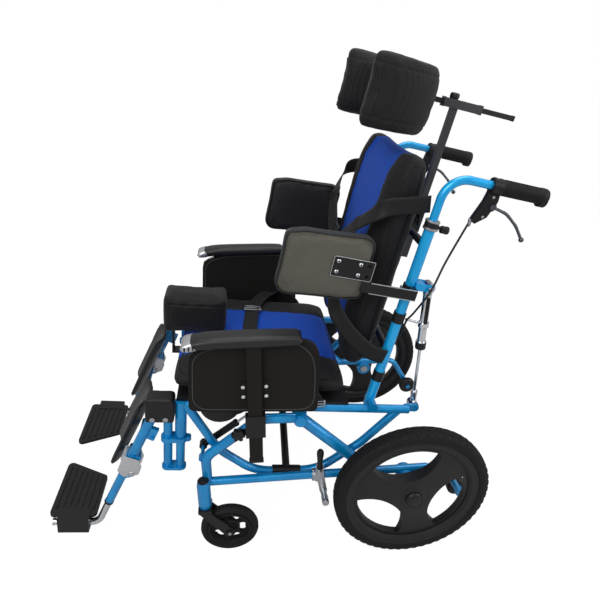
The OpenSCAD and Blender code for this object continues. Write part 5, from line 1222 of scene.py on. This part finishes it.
def add_collars():
    for label, side in SIDES.items():
        for name, outline in (("collar_ring_", COLLAR_RING), ("collar_rim_", COLLAR_RIM)):
            add(name + label, turned(outline, (TUBE_X, 0, 0), UP), STEEL, "back", BACK, side)
        knob = turned(COLLAR_KNOB, (TUBE_X, 0, KNOB_Z), ALONG, 32)
        add("collar_knob_" + label, knob, PART_PLASTIC, "back", BACK, side)


LOCK_LEVER = 278.5, -234, 247
LOCK_GRIP = ((0, 13.4), (7.4, 13.4), (8.7, 15.6), (8.5, 20), (7.2, 28), (7, 40), (8.4, 54), (9.2, 62),
             (8.8, 69), (6.4, 73.6), (3, 75), (0, 75.2))
SHOE_Y, SHOE_Z = -222, 185
LOWER_RAIL_X = 259.5
CLAMP_BOLTS = -246, -226


def add_wheel_locks():
    for label, side in SIDES.items():
        body = "wheel_lock_" + label
        grip = turned(LOCK_GRIP, LOCK_LEVER, UP, 32)
        add("lock_grip_" + label, grip, PART_PLASTIC, body, BASE, side)
        shoe = joined(rod((300, SHOE_Y, SHOE_Z), (325.4, SHOE_Y, SHOE_Z), 8.9, 1.6),
                      rod((281, SHOE_Y, SHOE_Z), (284, SHOE_Y, SHOE_Z), 9.6, 0.8))
        add("lock_shoe_" + label, shoe, STEEL, body, BASE, side)
        for k, y in enumerate(CLAMP_BOLTS):
            heads = [rod((LOWER_RAIL_X, y, low), (LOWER_RAIL_X, y, high), 4.6, 0.8, 6)
                     for low, high in ((204.6, 209), (236, 240.4))]
            name = "lock_clamp_bolt_%d_%s" % (k, label)
            add(name, joined(*heads), STEEL, "base", BASE, side)


# Side panels, supports and struts

SKIRT = (-549, 461), (-246, 441), (-246, 560), (-254, 604), (-286, 639), (-470, 639), (-538, 619)
SKIRT_MIDDLE = Vector((0, -397, 545))
WELT_SHARE = 0.945
SKIRT_FACES = 273.7, 259.8
HEM_X = 273.0
SKIRT_PLANE = 260
SKIRT_SCREWS_Y, SKIRT_SCREWS_Z = (-421.5, -368.5), (498, 525)
SKIRT_SCREW = (4.6, 18.3), (4.4, 19.3), (2.8, 20.3), (0, 20.7)
POST_FOOT = (274.2, -413, 302.5), (289.8, -377, 309)


def add_armrest_details():
    for label, side in SIDES.items():
        body = "armrest_" + label
        loop = [SKIRT_MIDDLE + (p - SKIRT_MIDDLE) * WELT_SHARE for p in rounded_loop(SKIRT, 44)]
        for k, x in enumerate(SKIRT_FACES):
            welt = bead([p + Vector((x, 0, 0)) for p in loop], 1.1, True)
            add("skirt_welt_%d_%s" % (k, label), welt, PIPING, body, BASE, side)
        hem = bead([p + Vector((HEM_X, 0, 0)) for p in rounded_loop(SKIRT, 30)], 1.2, True)
        add("skirt_hem_" + label, hem, PIPING_BLACK, body, BASE, side)
        for j, y in enumerate(SKIRT_SCREWS_Y):
            for k, z in enumerate(SKIRT_SCREWS_Z):
                screw = turned(SKIRT_SCREW, (SKIRT_PLANE, y, z), steps=24)
                name = "skirt_screw_%d_%d_%s" % (j, k, label)
                add(name, screw, WHITE_CAP, body, BASE, side)
        add("post_foot_" + label, block(*POST_FOOT, 1.6, 3), PART_PLASTIC, body, BASE, side)


PLATE_X = 242.9
PLATE_SCREWS = (-190, 346), (-190, 371), (-140, 346), (-140, 371)
PLATE_SCREW = (4.9, -0.4), (4.7, 1.2), (3.2, 2.6), (1.5, 3.1), (1.2, 2.0), (0, 2.0)
PLATE_OUTLINE = (-201, 335), (-108, 335), (-108, 381), (-201, 381)
BAR_EDGES = 307.5, 332.5
CLAMP_X = 214.5, 200
CLAMP_FACE, CLAMP_HEAD, CLAMP_Z = -15.4, 2.8, 320


def add_side_brackets():
    for label, side in SIDES.items():
        for k, (y, z) in enumerate(PLATE_SCREWS):
            screw = turned(PLATE_SCREW, (PLATE_X, y, z), steps=24)
            add("plate_screw_%d_%s" % (k, label), screw, STEEL, "back", BACK, side)
        rim = [p + Vector((PLATE_X - 0.3, 0, 0)) for p in rounded_loop(PLATE_OUTLINE, 3)]
        add("plate_rim_" + label, bead(rim, 0.7, True), SILVER_TRIM, "back", BACK, side)
        for k, z in enumerate(BAR_EDGES):
            edge = block((240.2, -104, z - 0.9), (243.6, 7, z + 0.9), 0.5)
            add("bar_edge_%d_%s" % (k, label), edge, SILVER_TRIM, "back", BACK, side)
        heads = [rod((x, CLAMP_FACE, CLAMP_Z), (x, CLAMP_FACE - CLAMP_HEAD, CLAMP_Z), 4.6, 0.8, 6)
                 for x in CLAMP_X]
        add("clamp_bolts_" + label, joined(*heads), STEEL, "back", BACK, side)


STRUT_TOP, STRUT_FOOT = Vector((TUBE_X, 14.8807, 733.918)), Vector((TUBE_X, 16.742, 396.028))
STRUT_WAY = (STRUT_FOOT - STRUT_TOP).normalized()
WINDOW_HALF, WINDOW_AT, WINDOW_OUT = (4.2, 42), 66, 9.9
STRUT_COLLAR = ((12.6, 148), (13.2, 149), (13.2, 165.6), (12.6, 166.8), (6.4, 166.9), (6.4, 160), (12, 150))
STRUT_RING = (10.1, 12), (10.9, 13), (10.9, 19), (10.1, 20)
STRUT_BOOT = (8.2, -41.4), (8.8, -40.4), (8.8, -34), (8.2, -33)
STRUT_NUT, STRUT_BOLT_END = (15.8, 21.4, 7.2, 1.0), (21, 24, 4.4, 0.8)


def add_recline_details():
    for label, side in SIDES.items():
        body = "recline_cylinders"
        wide, high = WINDOW_HALF
        window = block((-wide, -high, -0.4), (wide, high, 0.5), 2.4, 3)
        at = STRUT_TOP + STRUT_WAY * WINDOW_AT + Vector((WINDOW_OUT, 0, 0))
        window = lying(window, at, ALONG, STRUT_WAY)
        add("strut_window_" + label, window, STRUT_GLOSS, body, BASE, side)
        collar = turned(STRUT_COLLAR, STRUT_TOP, STRUT_WAY, closed=True)
        add("strut_collar_" + label, collar, PART_PLASTIC, body, BASE, side)
        ring = turned(STRUT_RING, STRUT_TOP, STRUT_WAY)
        add("strut_ring_" + label, ring, STEEL, body, BASE, side)
        bolt = nut_and_end(STRUT_TOP, 1, STRUT_NUT, STRUT_BOLT_END)
        add("strut_bolt_" + label, bolt, STEEL, "back", BASE, side)
        boot = turned(STRUT_BOOT, STRUT_FOOT, STRUT_WAY, 32)
        add("strut_boot_" + label, boot, STEEL, "recline_rods", BASE, side)


TILT_FOOT, TILT_TOP = Vector((205, -530, 298)), Vector((205, -395.012, 399.995))
TILT_GUIDE = (9.1, 104), (9.8, 105), (9.8, 111), (8.4, 112.6), (5.6, 112.8), (5.6, 108)


def add_tilt_details():
    for label, side in SIDES.items():
        guide = turned(TILT_GUIDE, TILT_FOOT, TILT_TOP - TILT_FOOT, 36)
        add("tilt_guide_" + label, guide, PART_PLASTIC, "tilt_cylinders", BASE, side)


SLEEVE_ENDS = 15, 111
HEAD_KNOB = (0, 733), (9.2, 733), (11, 735), (11.4, 741), (10.6, 745), (8, 746.6), (0, 747)
HEAD_KNOB_AT = 0, 40, 0
HEAD_BAR_END = (-6.6, 197, 716.4), (6.6, 203.4, 729.6)


def add_head_details():
    ends = [block((-13, y, 712), (13, y + 3, 734), 1.2) for y in SLEEVE_ENDS]
    add("head_sleeve_ends", joined(*ends), HEAD_GREY, "headrest_post", BACK)
    knob = turned(HEAD_KNOB, HEAD_KNOB_AT, UP, 36)
    add("head_knob", knob, PART_PLASTIC, "headrest_post", BACK)
    add("head_bar_end", block(*HEAD_BAR_END, 1.4, 3), PART_PLASTIC, "headrest_arm", BACK)
    lever = joined(rod((13, 47, 447), (24, 47, 447), 3.2), rod((22, 47, 447), (26, 47, 424), 3.6, 2.4))
    add("post_lever", lever, PART_PLASTIC, "back", BACK)


LEG_X = 230
JOINT_PLATE = (-722, 316), (-686, 297), (-682, 276), (-693, 250), (-731, 247), (-743, 268)
JOINT_BOLT, JOINT_HALF = (16, -184), 19.4
JOINT_NUT, JOINT_BOLT_END = (-1.4, 2.4, 8.6, 1.2), (2, 4.4, 4.6, 1.0)
KNEE_SCREW = (6.4, 23.2), (6.2, 24.6), (3.6, 25.8), (2, 25.8), (1.8, 24.6), (0, 24.6)
KNEE_BOLTS = ("knee", -354.5, -21.5), ("cap", -323.5, -20.5)
LEG_RING = (11.2, -310), (12, -311), (12, -316), (10, -317.4), (9.4, -317.4), (9.4, -310)


def add_knee_cap(label):
    cap = solids_of("knee_cap_" + label, SEAT)[0]
    dome = swollen("cap_shell_" + label, cap, SEAT, voxel=3.0, growth=1.2)
    smoothed(dome, 9)
    dome.data.materials.append(PART_PLASTIC)
    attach(dome, "hanger_" + label)
    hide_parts("knee_cap_" + label)


def add_leg_details():
    for label, side in SIDES.items():
        body = "legrest_" + label
        for k, out in enumerate((1, -1)):
            x = LEG_X + out * JOINT_HALF
            bolt = nut_and_end((x, *JOINT_BOLT), out, JOINT_NUT, JOINT_BOLT_END)
            add("joint_bolt_%d_%s" % (k, label), bolt, STEEL, body, LEG, side)
            cover = slab(JOINT_PLATE, x - 0.6 * out, x + 0.9 * out, 4, 0.4)
            add("joint_cover_%d_%s" % (k, label), cover, PLATE_SILVER, body, BASE, side)
        add_knee_cap(label)
        for name, y, z in KNEE_BOLTS:
            head = turned(KNEE_SCREW, (LEG_X, y, z), steps=28)
            add("%s_bolt_%s" % (name, label), head, STEEL, "hanger_" + label, SEAT, side)
        ring = turned(LEG_RING, (LEG_X, 0, 0), UP, 36, closed=True)
        add("leg_ring_" + label, ring, PART_PLASTIC, body, LEG, side)


add_seat_cushion()
add_back_cushion()
add_head_pad()
add_pommel()
add_lateral_pads()
add_arm_pads()
add_calf_pads()
add_harness()
add_lap_belt()
add_brake_cables()
add_tyres()
add_caster_details()
add_grips()
add_collars()
add_wheel_locks()
add_armrest_details()
add_side_brackets()
add_recline_details()
add_tilt_details()
add_head_details()
add_leg_details()


# Floor, backdrop and light

FLOOR_SIZE = 12
FLOOR_GLOW, FLOOR_SHARE = 1.12, 0.86
WORLD_LIGHT = 0.46
WHITE = 1, 1, 1, 1


def add_floor():
    """White floor, brighter where the camera sees it."""
    mesh = bpy.data.meshes.new("floor")
    shape = bmesh.new()
    bmesh.ops.create_grid(shape, x_segments=1, y_segments=1, size=FLOOR_SIZE)
    shape.to_mesh(mesh)
    shape.free()
    floor = bpy.data.objects.new("floor", mesh)
    scene.collection.objects.link(floor)
    pale = Finish("pale_floor", Roughness=0.9, Base_Color=(0.5, 0.5, 0.5, 1))
    share = pale.node("ShaderNodeLightPath") * FLOOR_SHARE
    matt = Value(pale, pale.shader.outputs[0])
    glow = pale.node("ShaderNodeEmission", {}, {"Color": WHITE[:3], "Strength": FLOOR_GLOW})
    mixed = pale.node("ShaderNodeMixShader", {}, {0: share, 1: matt, 2: glow})
    output = pale.tree.nodes["Material Output"]
    pale.tree.links.new(mixed.socket, output.inputs["Surface"])
    mesh.materials.append(pale.material)


def add_world():
    """Soft light from all round, and plain white behind the chair."""
    world = bpy.data.worlds.new("studio")
    scene.world = world
    world.use_nodes = True
    tree = world.node_tree
    light = tree.nodes["Background"]
    light.inputs["Color"].default_value = WHITE
    light.inputs["Strength"].default_value = WORLD_LIGHT
    plain = tree.nodes.new("ShaderNodeBackground")
    plain.inputs["Color"].default_value = WHITE
    path = tree.nodes.new("ShaderNodeLightPath")
    mix = tree.nodes.new("ShaderNodeMixShader")
    tree.links.new(path.outputs["Is Camera Ray"], mix.inputs[0])
    tree.links.new(light.outputs[0], mix.inputs[1])
    tree.links.new(plain.outputs[0], mix.inputs[2])
    tree.links.new(mix.outputs[0], tree.nodes["World Output"].inputs[0])


def add_lamp(name, at, aim, size, watts):
    data = bpy.data.lights.new(name, "AREA")
    data.energy = watts
    data.size = size
    lamp = bpy.data.objects.new(name, data)
    lamp.location = at
    lamp.rotation_euler = (Vector(aim) - Vector(at)).to_track_quat("-Z", "Y").to_euler()
    scene.collection.objects.link(lamp)


add_floor()
add_world()
add_lamp("key_softbox", at=(2.6, -1.6, 3.0), aim=(0, 0, 0.6), size=2.2, watts=70)
add_lamp("top_softbox", at=(-0.4, 0.6, 3.4), aim=(0, 0, 0.5), size=2.4, watts=45)
add_lamp("rim_softbox", at=(1.2, 2.6, 1.6), aim=(0, 0, 0.7), size=1.6, watts=26)

scene.view_settings.view_transform = "Standard"
